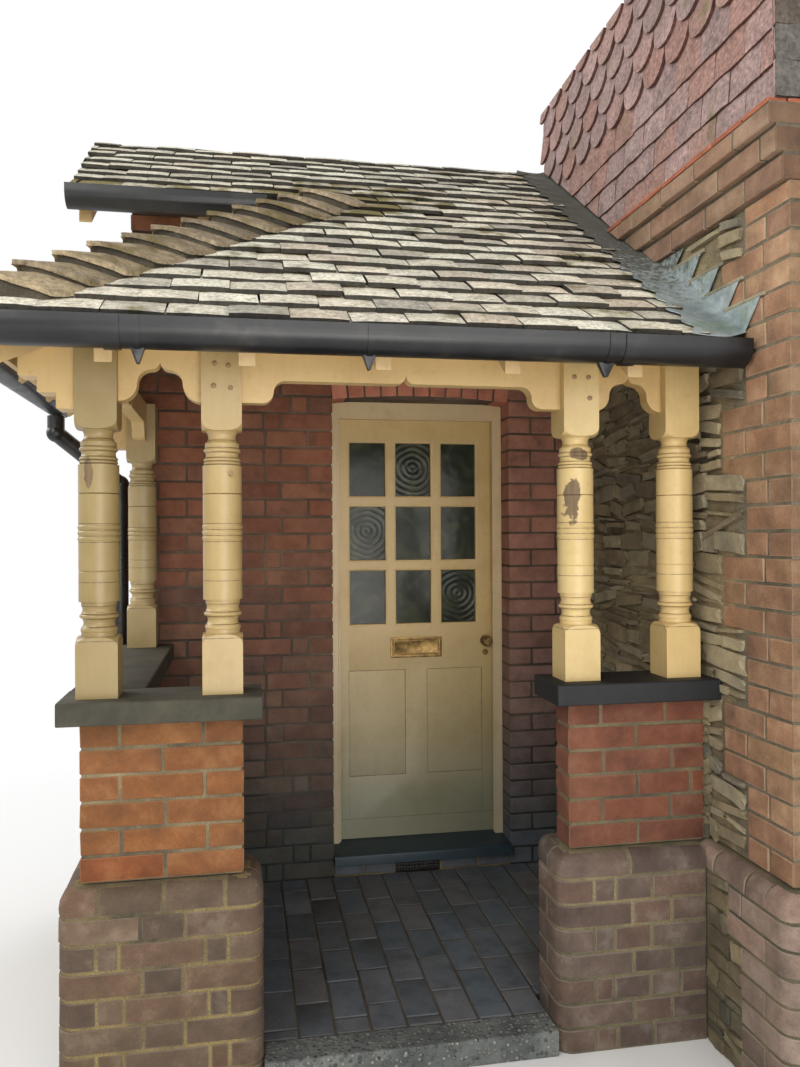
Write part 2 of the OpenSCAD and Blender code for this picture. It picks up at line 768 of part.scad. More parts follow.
// A deep round bottomed outline, its top edge at height 0 and its middle at 0
module gutter_solid(t = 0) intersection() {
  union() {
    translate([t - gutter_r, gutter_r - gutter_h]) square([gutter_w - 2 * t, gutter_h]);
    translate([0, gutter_r - gutter_h]) circle(gutter_r - t);
  }
  translate([-gutter_r, -gutter_h]) square([gutter_w, gutter_h]);
}

// The section of a gutter
module gutter_section() difference() {
  gutter_solid();
  translate([0, 1]) gutter_solid(gutter_t);
  gutter_solid(gutter_t);
}

gutter_y = eave_lap - gutter_r;
gutter_x = foot_x - fascia_t - gutter_r;
gutter_end = wing_x - 12;
gutter_joints = [-834, 602];
gutter_brackets = [-770, -154, 540];

// A band round the front of a gutter, where two lengths join or a bracket holds it
module gutter_band(x, w, t) translate([x, gutter_y, gutter_top]) run_x(-w / 2, w / 2) intersection() {
  difference() {
    union() {
      translate([0, gutter_r - gutter_h]) circle(gutter_r + t);
      translate([-gutter_r - t, gutter_r - gutter_h]) square([t + 8, gutter_h - gutter_r - 2]);
    }
    translate([0, gutter_r - gutter_h]) circle(gutter_r - 1);
    translate([1 - gutter_r, gutter_r - gutter_h]) square([gutter_r, gutter_h]);
  }
  translate([-gutter_r - t, -gutter_h - t]) square([gutter_r + t + 15, gutter_h + t]);
}

module front_gutter() color("#26272a") union() {
  for (x = gutter_joints) gutter_band(x, 44, 4);
  for (x = gutter_brackets) gutter_band(x, 18, 3);
  intersection() {
    translate([0, gutter_y, gutter_top]) run_x(-far, gutter_end) gutter_section();
    hip_side(-1, 0);
  }
  translate([0, gutter_y, gutter_top]) run_x(gutter_end - gutter_t, gutter_end) gutter_solid();
}

outlet_y = porch_depth - 100;
gutter_back = porch_depth - 10;

module side_gutter() color("#26272a") union() {
  intersection() {
    translate([gutter_x, 0, gutter_top]) run_y(-far, gutter_back) gutter_section();
    hip_side(1, 0);
  }
  translate([gutter_x, 0, gutter_top]) run_y(gutter_back - gutter_t, gutter_back) gutter_solid();
}

module main_eave_gutter() color("#26272a")
  translate([0, main_eave_y + eave_front + gutter_y, front_z(main_eave_y) - gutter_drop])
    union() {
      run_x(verge_x - 10, main_eave_y + hip_shift - 240) gutter_section();
      run_x(verge_x - 10, verge_x - 10 + gutter_t) gutter_solid();
      run_x(main_eave_y + hip_shift - 240 - gutter_t, main_eave_y + hip_shift - 240) gutter_solid();
    }

pipe_x = -pier_out - 25 - pipe_d / 2;
pipe_y = porch_depth + 70;
pipe_r = pipe_d / 2;
socket_t = 4;
offset_z0 = 1820;
offset_z1 = gutter_top - gutter_h - 70;

// A straight length of pipe between two points
module pipe_run(a, b, r) {
  d = b - a;
  translate(a) rotate([0, acos(d[2] / norm(d)), atan2(d[1], d[0])]) cylinder(r = r, h = norm(d));
}

// The swan neck and pipe that lead from the side gutter to the ground
module pipe_path(r) {
  top = [gutter_x, outlet_y, offset_z1];
  low = [pipe_x, pipe_y, offset_z0];
  pipe_run([gutter_x, outlet_y, gutter_top - gutter_h - 1], top, r);
  translate(top) sphere(r + socket_t);
  pipe_run(top, low, r);
  translate(low) sphere(r + socket_t);
  pipe_run(low, [pipe_x, pipe_y, 130], r);
}

module downpipe() color("#26272a") union() {
  pipe_path(pipe_r);
  for (z = [1700, 950, 260]) translate([pipe_x, pipe_y, z]) cylinder(r = pipe_r + socket_t, h = 40);
}

wing_out = wing_x + wall_t;
quoin_h = 3 * course_h;
quoins = floor((string_z - plinth_h) / quoin_h);

// The toothed corner of the wing: long and short bricks by turns
module quoin_stack(grow) {
  for (k = [0:quoins]) {
    z0 = plinth_h + k * quoin_h;
    z1 = min(string_z, z0 + quoin_h);
    block(wing_x - grow, wing_out + grow, -wing_front - grow,
          -wing_front + (k % 2 == 0 ? quoin_short : quoin_long), z0, z1);
  }
}

module wing_quoins() color("#a5695a") union() quoin_stack(0);

module wing_wall() color("#6f6353") union() {
  difference() {
    block(wing_x, wing_out, -wing_front, house_back, plinth_h, string_z);
    quoin_stack(1);
  }
  block(wing_x, wing_out, -wing_front, house_back, string_z, wing_h);
}

module wing_plinth() color("#7d5a4c") union() {
  intersection() {
    bullnose_block(wing_x - plinth_out, wing_x + 2 * wall_t + 200, -wing_front - plinth_out,
                   porch_depth + 200);
    block(0, wing_out, -far, porch_depth, 0, far);
  }
  block(wing_x, wing_out, porch_depth - 1, house_back, 0, plinth_h);
}

string_out = 20;

// Three corbelled brick courses, cut where the roof runs into them
module string_course() color("#8d4f42") difference() {
  union() for (k = [0:2])
    block(wing_x - (k + 1) * string_out, wing_x, -wing_front, porch_depth,
          string_z + k * course_h, string_z + (k + 1) * course_h);
  roof_room(0);
}

// Everything below the lead on the roof, and out to a height over it
module roof_room(up) run_x(-far, far) polygon([
  [-eave_front - 40, 0], [far, 0], [far, front_z(far) + lead_t + up + 2],
  [-eave_front - 40, front_z(-eave_front - 40) + lead_t + up + 2]
]);

hanging_t = 40;
hanging_z = string_z + 3 * course_h;

module tile_hanging() color("#8f4a3c") difference() {
  block(wing_x - hanging_t, wing_x, -wing_front, house_back, hanging_z, wing_h);
  roof_room(25);
}

left_plinth();
right_plinth();
left_front_wall();
left_side_wall();
right_front_wall();
mortar_infill();
left_front_coping();
left_side_coping();
right_coping();
porch_floor();
floor_edge();
house_wall_left();
house_wall_right();
house_wall_over_door();
door_arch();
sill_riser();
air_brick();
door_sill();
door_frame();
frame_hinges();
door_leaf();
door_glass();
letter_plate();
door_knobs();
leaf_hinges();
corner_post();
left_inner_post();
right_inner_post();
wall_post();
back_post();
front_plate();
side_plate();
beam_corbels();
middle_fret();
left_bay_fret();
right_bay_fret();
side_bay_fret();
rafters();
hip_rafter();
fascia();
front_roof_slope();
side_roof_slope();
hip_tiles();
lead_gutter();
stepped_flashing();
front_gutter();
side_gutter();
main_eave_gutter();
downpipe();
wing_wall();
wing_quoins();
wing_plinth();
string_course();
tile_hanging();
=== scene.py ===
"""Entrance porch in the corner of a brick cottage, put together from the ground up."""

import math
import random

import bmesh
import bpy
import numpy as np
from mathutils import Matrix, Vector


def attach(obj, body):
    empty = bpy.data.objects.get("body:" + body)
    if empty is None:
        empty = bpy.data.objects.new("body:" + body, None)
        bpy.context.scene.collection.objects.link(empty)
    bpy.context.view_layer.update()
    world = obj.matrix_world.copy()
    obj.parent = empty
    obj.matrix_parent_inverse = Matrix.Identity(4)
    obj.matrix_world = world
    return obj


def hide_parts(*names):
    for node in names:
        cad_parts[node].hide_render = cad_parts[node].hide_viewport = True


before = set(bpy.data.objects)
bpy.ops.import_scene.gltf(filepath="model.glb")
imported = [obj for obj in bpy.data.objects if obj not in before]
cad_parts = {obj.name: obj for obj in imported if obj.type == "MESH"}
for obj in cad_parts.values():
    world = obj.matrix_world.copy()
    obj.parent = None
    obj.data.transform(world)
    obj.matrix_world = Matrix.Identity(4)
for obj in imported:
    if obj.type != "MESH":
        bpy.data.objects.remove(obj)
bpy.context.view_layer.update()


# The place to stand in front of the porch, with a pale floor and soft studio light.
# The eye is 1.6 m above the ground and 2.6 m in front of the piers, left of the door.
def feed(tree, node, feeds):
    """Feeds a node with values, with sockets, or with other nodes' first sockets."""
    for socket, value in feeds.items():
        value = value.outputs[0] if isinstance(value, bpy.types.Node) else value
        if isinstance(value, bpy.types.NodeSocket):
            tree.links.new(value, node.inputs[socket])
        else:
            node.inputs[socket].default_value = value


def put(tree, kind, feeds=None, **settings):
    """A new shader node with its own settings and what feeds it."""
    made = tree.nodes.new("ShaderNode" + kind)
    for key, value in settings.items():
        setattr(made, key, value)
    feed(tree, made, feeds or {})
    return made


def turned(**turns):
    """Turns about the axes x, y and z, by radians and in the order given."""
    made = Matrix.Identity(4)
    for axis, angle in turns.items():
        made = made @ Matrix.Rotation(angle, 4, axis.upper())
    return made


scene = bpy.context.scene
scene.view_settings.view_transform = "Standard"
bpy.ops.object.camera_add(location=(-0.509, -2.61, 1.595))
eye = scene.camera = bpy.context.object
eye.name = "eye"
turn = turned(z=math.radians(-10.35), x=math.radians(90.07)) @ turned(z=math.radians(-0.3))
eye.rotation_euler = turn.to_euler()
eye.data.lens = 29.69

studio = scene.world = bpy.data.worlds.new("studio")
studio.use_nodes = True
sky = studio.node_tree
sky.nodes.clear()
ray = put(sky, "LightPath").outputs
seen = put(sky, "Math", {0: ray["Is Camera Ray"], 1: ray["Is Glossy Ray"]}, operation="MAXIMUM")
seen = put(sky, "Math", {0: seen, 1: ray["Is Transmission Ray"]}, operation="MAXIMUM")
soft = put(sky, "Background", {"Color": (0.93, 0.96, 1.0, 1), "Strength": 0.48})
white = put(sky, "Background", {"Color": (1, 1, 1, 1), "Strength": 1.0})
put(sky, "OutputWorld", {0: put(sky, "MixShader", {0: seen, 1: soft, 2: white})})

for place, aim, size, power, tint in (
    ((-3.6, -4.2, 5.2), (-0.2, 0.4, 1.5), 3.4, 180, (1.0, 0.97, 0.92)),
    ((0.9, -5.4, 2.0), (0.1, 1.2, 1.3), 4.0, 130, (1.0, 0.97, 0.93)),
    ((-4.6, 2.6, 4.6), (-0.4, 0.6, 2.0), 3.0, 150, (1.0, 0.96, 0.9)),
    ((3.0, 5.0, 4.5), (0.0, 0.8, 1.8), 4.0, 120, (0.96, 0.98, 1.0)),
    ((-0.1, -3.6, 0.4), (0.2, 1.2, 2.3), 2.4, 42, (1.0, 0.97, 0.93)),
):
    bpy.ops.object.light_add(type="AREA", location=place)
    lamp = bpy.context.object
    lamp.data.size, lamp.data.energy, lamp.data.color = size, power, tint
    lamp.rotation_euler = (Vector(aim) - Vector(place)).to_track_quat("-Z", "Y").to_euler()

bpy.ops.mesh.primitive_plane_add(size=60)
floor = bpy.context.object
floor.name = "pale_floor"
paper = bpy.data.materials.new("pale floor")
paper.use_nodes = True
tree = paper.node_tree
near = tree.nodes["Principled BSDF"]
feed(tree, near, {"Base Color": (0.86, 0.86, 0.85, 1), "Roughness": 0.9})
away = put(tree, "VectorMath", {0: put(tree, "TexCoord").outputs["Object"]}, operation="LENGTH")
fade = put(tree, "MapRange", {0: away.outputs["Value"], 1: 1.7, 2: 4.2})
camera_ray = put(tree, "LightPath").outputs["Is Camera Ray"]
shown = put(tree, "Math", {0: fade, 1: camera_ray}, operation="MULTIPLY")
blend = put(tree, "MixShader", {0: shown, 1: near, 2: put(tree, "Emission")})
feed(tree, tree.nodes["Material Output"], {0: blend})
floor.data.materials.append(paper)

# Left plinth: eight courses of hard clay bricks laid one brick thick, with rounded
# bricks at the corners and a bullnose course on top. The bricks are hand pressed and
# bedded in lime mortar, which stays a few millimetres behind their faces.
course_high, joint, nose = 0.0762, 0.009, 0.046
brick_high, brick_long, brick_wide, header_long = course_high - joint, 0.225, 0.106, 0.112
plinth_high = 8 * course_high
house, back, party, pier_back, plinth_front = 1.285, 1.51, 1.215, 0.169, -0.055
plinth_left, plinth_right, wing_face, wing_side = -1.012, 0.445, 0.99, 1.755
corner_pair, wall_deep = 0.331, 0.211
chance = random.Random(11)

weathering = bpy.data.node_groups.new("Weathering", "ShaderNodeTree")
for title in ("Size", "Seed"):
    weathering.interface.new_socket(title, in_out="INPUT", socket_type="NodeSocketFloat")
for title in ("Cloud", "Grain", "Pits", "Low"):
    weathering.interface.new_socket(title, in_out="OUTPUT", socket_type="NodeSocketFloat")
given = weathering.nodes.new("NodeGroupInput").outputs
where = put(weathering, "TexCoord").outputs["Object"]
clouds = {"Vector": where, "W": given["Seed"], "Scale": given["Size"], "Detail": 6.0, "Roughness": 0.65}
grains = {"Vector": where, "Scale": 260.0, "Detail": 4.0, "Roughness": 0.7}
pores = put(weathering, "TexVoronoi", {"Vector": where, "Scale": 120.0, "Randomness": 1.0})
rise = put(weathering, "SeparateXYZ", {0: where}).outputs["Z"]
feed(weathering, weathering.nodes.new("NodeGroupOutput"), {
    "Cloud": put(weathering, "TexNoise", clouds, noise_dimensions="4D"),
    "Grain": put(weathering, "TexNoise", grains),
    "Pits": put(weathering, "MapRange", {0: pores.outputs["Distance"], 1: 0.05, 2: 0.32, 3: 0.0, 4: 1.0}),
    "Low": put(weathering, "MapRange", {0: rise, 1: 0.0, 2: 0.55, 3: 1.0, 4: 0.0}),
})


def seen_as(colour):
    """A colour as the eye reads it, 0 to 255, turned into light. Light stays as it is."""
    if max(colour) <= 1:
        return tuple(colour)
    return tuple(((c / 255 + 0.055) / 1.055) ** 2.4 if c > 10 else c / 3294 for c in colour)


def lit(colour):
    """A colour for a node: three numbers, or one for a grey. Nodes and sockets pass."""
    if isinstance(colour, (int, float)):
        return (colour, colour, colour, 1)
    return (*seen_as(colour), 1) if isinstance(colour, tuple) else colour


def scaled(colour, by):
    """A light made stronger or weaker, in all or in each of its three numbers."""
    return tuple(min(1, c * f) for c, f in zip(colour, by if isinstance(by, tuple) else (by,) * 3))


class Look:
    """The look of a material, put together node by node."""

    def __init__(self, name="", made=None):
        self.made = made or bpy.data.materials.new(name)
        self.made.use_nodes = True
        self.tree = self.made.node_tree
        self.shader = self.tree.nodes["Principled BSDF"]
        self.where = self.put("TexCoord").outputs["Object"]

    def put(self, kind, feeds=None, **settings):
        return put(self.tree, kind, feeds, **settings)

    def axis(self, name):
        """How far a point lies along X, Y or Z."""
        return self.put("SeparateXYZ", {0: self.where}).outputs[name]

    def mark(self, name):
        """A number that the mesh keeps: tone, arris or moss."""
        return self.put("Attribute", attribute_name=name).outputs["Fac"]

    def wear(self, size, seed):
        """Cloud, Grain, Pits and Low of the weathering."""
        return self.put("Group", {"Size": size, "Seed": seed}, node_tree=weathering).outputs

    def sums(self, how, a, b, c=0.0):
        """A sum on two or three values."""
        return self.put("Math", {0: a, 1: b, 2: c}, operation=how)

    def times(self, a, b):
        return self.sums("MULTIPLY", a, b)

    def add(self, a, b, c):
        """a times b, added to c."""
        return self.sums("MULTIPLY_ADD", a, b, c)

    def span(self, value, low, high, a, b):
        """a where a value is low, b where it is high."""
        return self.put("MapRange", {0: value, 1: low, 2: high, 3: a, 4: b})

    def mix(self, share, a, b, how="MIX"):
        """Two colours mixed by a share."""
        feeds = {0: share, 6: lit(a), 7: lit(b)}
        return self.put("Mix", feeds, data_type="RGBA", blend_type=how).outputs[2]

    def stain_and_shade(self, share, colour, darkening):
        """A colour darkened by a share, for grime and damp and also for painted shade."""
        return self.mix(share, colour, self.mix(1.0, colour, darkening, "MULTIPLY"))

    def low_shade(self, share, colour, darkening, low=0.2, high=1.7):
        """Painted shade: a colour darkened towards the bottom, by the share at low and not at all above
        high.
        """
        return self.stain_and_shade(self.span(self.axis("Z"), low, high, share, 0.0), colour, darkening)

    def ramp(self, value, *steps):
        """Colours over a value, each step its place and its colour."""
        made = self.put("ValToRGB", {0: value})
        strip = made.color_ramp.elements
        while len(strip) < len(steps):
            strip.new(0.5)
        for part, (at, colour) in zip(strip, steps):
            part.position, part.color = at, lit(colour)
        return made

    def mottle(self, share, colour, value, *steps):
        """A colour made lighter and darker over a value."""
        return self.mix(share, colour, self.ramp(value, *steps), "MULTIPLY")

    def tones(self, colours):
        """Each copy in its own shade, by its tone."""
        return self.ramp(self.mark("tone"), *((i / (len(colours) - 1), c) for i, c in enumerate(colours)))

    def close(self, colour, rough, strength, distance, height, **others):
        """Feeds the shader and gives the material."""
        relief = self.put("Bump", {"Strength": strength, "Distance": distance, "Height": height})
        feed(self.tree, self.shader, {"Base Color": colour, "Roughness": rough, "Normal": relief, **others})
        return self.made


def fired_clay(name, colours, bloom, bloom_share=0.45, damp=0.0, rough=0.85, bump=0.5, low_shade=0.0):
    """Fired clay: each brick in its own tone, clouded, sandy and pitted, with bloom and damp,
    and where asked painted shade that darkens it towards the bottom."""
    m = Look(name)
    wear, wide = m.wear(11.0, m.times(m.mark("tone"), 37.0)), m.wear(1.9, 3.0)
    colour = m.mottle(0.75, m.tones(colours), wear["Cloud"], (0.3, 0.42), (0.5, 0.95), (0.72, 1.35))
    colour = m.mottle(0.5, colour, wear["Grain"], (0.3, 0.5), (0.5, 1.0), (0.75, 1.5))
    pale = m.times(m.ramp(wear["Cloud"], (0.52, 0.0), (0.7, 1.0)), bloom_share)
    colour = m.mix(pale, colour, bloom)
    dark = m.times(m.ramp(wide["Cloud"], (0.35, 1.0), (0.6, 0.0)), 0.35)
    colour = m.stain_and_shade(dark, colour, (0.42, 0.43, 0.42))
    colour = m.stain_and_shade(m.times(wear["Low"], damp), colour, (0.38, 0.42, 0.38))
    colour = m.mix(m.times(m.mark("arris"), 0.28), colour, bloom)
    # Painted shade: darker towards the bottom.
    if low_shade:
        colour = m.low_shade(low_shade, colour, (0.22, 0.57, 0.92))
    ground = m.add(wear["Pits"], 0.25, m.add(wear["Grain"], 0.5, wear["Cloud"]))
    return m.close(colour, m.add(wear["Cloud"], 0.2, rough - 0.1), bump, 0.004, ground)


def lime_mortar(name, pale, dark, low_shade=0.0):
    """Sandy lime mortar, pale where it is new and dark where it has weathered."""
    m = Look(name)
    pale, dark = seen_as(pale), seen_as(dark)
    wear, wide = m.wear(14.0, 5.0), m.wear(3.2, 9.0)
    between = tuple((a + b) / 2 for a, b in zip(pale, dark))
    colour = m.ramp(wide["Cloud"], (0.34, dark), (0.5, between), (0.62, pale))
    colour = m.mottle(0.8, colour, wear["Grain"], (0.3, 0.35), (0.5, 0.95), (0.7, 1.5))
    colour = m.stain_and_shade(m.times(wear["Low"], 0.4), colour, (0.4, 0.44, 0.4))
    # Painted shade: darker towards the bottom.
    if low_shade:
        colour = m.low_shade(low_shade, colour, (0.3, 0.42, 0.55))
    return m.close(colour, 0.95, 0.9, 0.006, m.add(wear["Cloud"], 1.6, wear["Grain"]))


def edit(piece, choice="DESELECT"):
    """Opens a piece alone, with nothing or all of it selected."""
    bpy.ops.object.select_all(action="DESELECT")
    piece.select_set(True)
    bpy.context.view_layer.objects.active = piece
    bpy.ops.object.mode_set(mode="EDIT")
    bpy.ops.mesh.select_all(action=choice)


def leave():
    """Closes the piece that is open."""
    bpy.ops.object.mode_set(mode="OBJECT")


def settle(location=False, rotation=False):
    """Makes the size of a piece its own, and where asked its place and turn."""
    bpy.ops.object.transform_apply(location=location, rotation=rotation, scale=True)


def pick(kind, wanted):
    """Selects the edges or faces of the open piece whose middle is wanted."""
    bpy.ops.mesh.select_mode(type=kind)
    mesh = bpy.context.edit_object.data
    shape = bmesh.from_edit_mesh(mesh)
    for part in shape.edges if kind == "EDGE" else shape.faces:
        middle = sum((v.co for v in part.verts), Vector()) / len(part.verts)
        part.select_set(bool(wanted(middle, part)))
    shape.select_flush_mode()
    bmesh.update_edit_mesh(mesh)


def ease(angle, width, segments=1):
    """Eases the sharp edges of the open piece."""
    bpy.ops.mesh.select_all(action="DESELECT")
    bpy.ops.mesh.edges_select_sharp(sharpness=math.radians(angle))
    bpy.ops.mesh.bevel(offset=width, segments=segments, affect="EDGES")


def pattern(piece, is_worn=lambda face: False, marks=("tone",)):
    """Closes the open piece and puts it away as a pattern, with its worn faces marked."""
    leave()
    worn = piece.data.attributes.new("arris", "FLOAT", "FACE")
    for face in piece.data.polygons:
        worn.data[face.index].value = float(is_worn(face))
    for mark in marks:
        piece.data.attributes.new(mark, "FLOAT", "POINT")
    bpy.context.collection.objects.unlink(piece)
    return piece


def shaped_block(size, rounds=(), arris=0.003):
    """A block with some edges rounded and all others eased: f and b are front and back,
    l, r and t are left, right and top."""
    bpy.ops.mesh.primitive_cube_add(size=1, scale=size)
    block = bpy.context.object
    sides = {"l": (-1, 0, 0), "r": (1, 0, 0), "f": (0, -1, 0), "b": (0, 1, 0), "t": (0, 0, 1)}
    spots = [(Vector(sides[a]) + Vector(sides[b])) * Vector(size) / 2 for a, b in rounds]
    edit(block)
    if spots:
        pick("EDGE", lambda at, part: any((at - s).length < 1e-5 for s in spots))
        bpy.ops.mesh.bevel(offset=nose, segments=5, affect="EDGES")
    ease(55, arris)

    def is_narrow(face):
        corners = block.data.vertices
        longest = max((corners[a].co - corners[b].co).length for a, b in face.edge_keys)
        return face.area / longest < arris * 1.7

    return pattern(block, is_narrow)


stock = {}


def stocked(long, deep, high, rounds=(), arris=0.003):
    """A block of a size to the millimetre, shaped once and kept for the next copy."""
    key = (round(long, 3), round(deep, 3), round(high, 3), tuple(rounds), arris)
    if key not in stock:
        stock[key] = shaped_block(key[:3], rounds, arris)
    return stock[key]


def set_mark(piece, name, value):
    """Keeps a number in the mesh of a piece."""
    count = len(piece.data.vertices)
    piece.data.attributes[name].data.foreach_set("value", np.full(count, value, np.float32))


def set_copy(wall, source, at, turn, tone, jitter=0.0006):
    """A copy of a pattern with its own mesh, set in its place, a little uneven."""
    one = source.copy()
    one.data = source.data.copy()
    one.matrix_world = Matrix.Translation(at) @ turn
    set_mark(one, "tone", tone)
    if jitter:
        places = np.empty(len(one.data.vertices) * 3, np.float32)
        one.data.vertices.foreach_get("co", places)
        rough = np.random.default_rng(chance.randrange(1 << 30)).normal(0, jitter, len(places))
        one.data.vertices.foreach_set("co", places + rough.astype(np.float32))
    scene.collection.objects.link(one)
    wall.append(one)
    return one


def set_brick(wall, run, a, b, low, deep, high=brick_high, rounds=(), tone=None):
    """A brick from a to b along a face; run is where the face starts and where it heads."""
    block = stocked(b - a, deep, high, rounds)
    heading = math.radians(run[2])
    along = Vector((math.cos(heading), math.sin(heading), 0))
    middle = Vector((run[0], run[1], low + high / 2)) + along * (a + b) / 2
    middle += Vector((-along.y, along.x, 0)) * (deep / 2 + chance.uniform(0, 0.0015))
    tilt = turned(z=heading + chance.gauss(0, 0.003), y=chance.gauss(0, 0.003))
    set_copy(wall, block, middle, tilt, chance.random() if tone is None else tone)


def lay_course(wall, run, low, marks, deep, high=brick_high, first=None, last=None, edge=(), tones=None):
    """One course on a face. Marks are its joints; first and last are the end bricks' own
    depth and rounded edges, which stand free without a joint."""
    for i, (a, b) in enumerate(zip(marks, marks[1:])):
        depth, rounds, a, b = deep, set(edge), a + joint / 2, b - joint / 2
        if first and i == 0:
            depth, rounds, a = first[0], rounds | set(first[1:]), marks[0]
        if last and i == len(marks) - 2:
            depth, rounds, b = last[0], rounds | set(last[1:]), marks[-1]
        set_brick(wall, run, a, b, low, depth, high, sorted(rounds), tones[i] if tones else None)


def paced(start, end, step=brick_long, offset=0.0):
    """Joints from start to end at an even step; the first brick is offset long."""
    marks = [start]
    at = start + (offset or step)
    while at < end - 0.04:
        marks.append(at)
        at += step
    return marks + [end]


def set_block(wall, middle, size, material, rounds=(), arris=0.002):
    """A block of one material with its middle at a place."""
    made = shaped_block(size, rounds, arris)
    made.location = middle
    made.data.materials.append(material)
    scene.collection.objects.link(made)
    wall.append(made)


def bed(wall, low, high, material, rounds=(), arris=0.002):
    """A block between two corners, such as the mortar in the middle of a wall."""
    middle = [(a + b) / 2 for a, b in zip(low, high)]
    set_block(wall, middle, tuple(b - a for a, b in zip(low, high)), material, rounds, arris)


def joined(parts):
    """Joins parts into one piece at the origin."""
    bpy.ops.object.select_all(action="DESELECT")
    for part in parts:
        part.select_set(True)
    bpy.context.view_layer.objects.active = parts[0]
    if len(parts) > 1:
        bpy.ops.object.join()
    settle(True, True)
    return bpy.context.object


def assemble(name, parts, nodes, slot, body="porch", smooth=35):
    """Joins the parts into one piece, riding on its body and standing for its nodes."""
    made = joined(parts)
    if smooth:
        bpy.ops.object.shade_smooth_by_angle(angle=math.radians(smooth))
    made.name = made.data.name = name
    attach(made, body)
    if nodes:
        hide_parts(*nodes)


def finish_with(parts, material):
    """Gives the material to the parts that have none."""
    for part in parts:
        if not part.data.materials:
            part.data.materials.append(material)


plinth_clay = fired_clay(
    "weathered plinth brick",
    [(90, 74, 61), (101, 79, 63), (110, 85, 65), (97, 81, 65), (113, 92, 74)], (146, 134, 116), damp=0.35,
)
plinth_mortar = lime_mortar("cream and grey mortar", (168, 146, 98), (78, 74, 64))
front_marks = {
    7: [0, 0.108, 0.288, 0.458, 0.567],
    6: [0, 0.225, 0.346, 0.567],
    5: [0, 0.106, 0.166, 0.402, 0.466, 0.567],
    4: [0, 0.229, 0.341, 0.567],
    3: [0, 0.106, 0.18, 0.412, 0.468, 0.567],
    2: [0, 0.231, 0.345, 0.567],
    1: [0, 0.106, 0.178, 0.415, 0.47, 0.567],
    0: [0, 0.23, 0.345, 0.567],
}
bricks = []
for k, marks in front_marks.items():
    low, top, wide = k * course_high + joint / 2, k == 7, marks[1] > 0.15
    ret = brick_wide if wide or top else 0.224
    edge = ("tf",) if top else ()
    left = (ret, "fl", "tl") if top else (ret, "fl")
    right = (ret, "fr", "tr") if top else (ret, "fr") if wide else (ret, "fr", "br")
    front = (plinth_left, plinth_front, 0)
    lay_course(bricks, front, low, marks, brick_wide, first=left, last=right, edge=edge)
    marks = paced(0, 1.34 - ret, offset=0.1 + 0.015 * k)
    lay_course(bricks, (plinth_left, house, -90), low, marks, brick_wide, edge=edge)
    if wide or top:
        side = (-plinth_right, plinth_front, 90)
        lay_course(bricks, side, low, [ret, 0.224], 0.1, last=(0.1, "fr"), edge=edge)
    marks = [brick_wide, 0.225, 0.343] if wide else [brick_wide, 0.343]
    lay_course(bricks, (-plinth_right, pier_back, 180), low, marks, 0.1, edge=edge)
    marks = paced(0.0, 1.116, offset=header_long if wide else brick_long)
    lay_course(bricks, (-0.788, pier_back, 90), low, marks, brick_wide, edge=edge)
finish_with(bricks, plinth_clay)
rounds = ("fl", "fr", "br", "tf", "tl", "tr", "tb")
bed(bricks, (-1.008, -0.051, 0), (-0.449, 0.165, plinth_high - 0.004), plinth_mortar, rounds)
bed(bricks, (-1.008, 0.1, 0), (-0.792, house, plinth_high - 0.004), plinth_mortar, ("tl", "tr"))
assemble("left_plinth_bricks", bricks, ["left_plinth"], "plinth_brick")

# Right plinth and wing plinth: the same bricks and bullnose course, mitred where they
# meet. Beside the pier the wing's bricks stop in a ragged line against rubble.
right_clay = fired_clay(
    "grey brown plinth brick",
    [(84, 71, 64), (97, 78, 67), (106, 83, 70), (92, 78, 69), (108, 90, 79)], (146, 138, 126), damp=0.35,
)
dull_mortar = lime_mortar("grey green mortar", (146, 132, 98), (80, 77, 63))
front_marks = {
    7: [0, 0.235, 0.49],
    6: [0, 0.115, 0.184, 0.306, 0.49],
    5: [0, 0.24, 0.37, 0.49],
    4: [0, 0.115, 0.18, 0.303, 0.49],
    3: [0, 0.243, 0.37, 0.49],
    2: [0, 0.117, 0.178, 0.297, 0.4, 0.49],
    1: [0, 0.243, 0.37, 0.49],
    0: [0, 0.12, 0.19, 0.31, 0.49],
}
bricks = []
for k, marks in front_marks.items():
    low, top, wide = k * course_high + joint / 2, k == 7, marks[1] > 0.15
    ret = brick_wide if wide or top else 0.224
    edge = ("tf",) if top else ()
    left = (ret, "fl", "tl") if top else (ret, "fl") if wide else (ret, "bl", "fl")
    lay_course(bricks, (plinth_right, plinth_front, 0), low, marks, brick_wide, first=left, edge=edge)
    if wide or top:
        side = (plinth_right, pier_back, -90)
        lay_course(bricks, side, low, [0, 0.224 - ret], 0.1, first=(0.1, "fl"), edge=edge)
    marks = [0, 0.15, 0.384] if wide else [0, 0.225, 0.384]
    lay_course(bricks, (0.935, pier_back, 180), low, marks, 0.1, edge=edge)
finish_with(bricks, right_clay)
rounds = ("bl", "fl", "tf", "tl", "tb")
bed(bricks, (0.449, -0.051, 0), (0.935, 0.165, plinth_high - 0.004), dull_mortar, rounds)
assemble("right_plinth_bricks", bricks, ["right_plinth"], "plinth_brick")


def split_stone(seed):
    """A rough split stone of unit size, with broken arrises."""
    bpy.ops.mesh.primitive_cube_add(size=1)
    stone = bpy.context.object
    edit(stone, "SELECT")
    bpy.ops.mesh.subdivide(number_cuts=2, smoothness=0)
    bpy.ops.mesh.select_all(action="DESELECT")
    pick("EDGE", lambda at, part: sum(abs(abs(c) - 0.5) < 1e-4 for c in at) >= 2)
    bpy.ops.transform.vertex_random(offset=0.1, uniform=0.6, seed=seed)
    bpy.ops.mesh.select_all(action="SELECT")
    bpy.ops.transform.vertex_random(offset=0.035, uniform=0.2, seed=seed + 9)
    return pattern(stone)


stones = [split_stone(s) for s in (3, 14, 25, 36)]


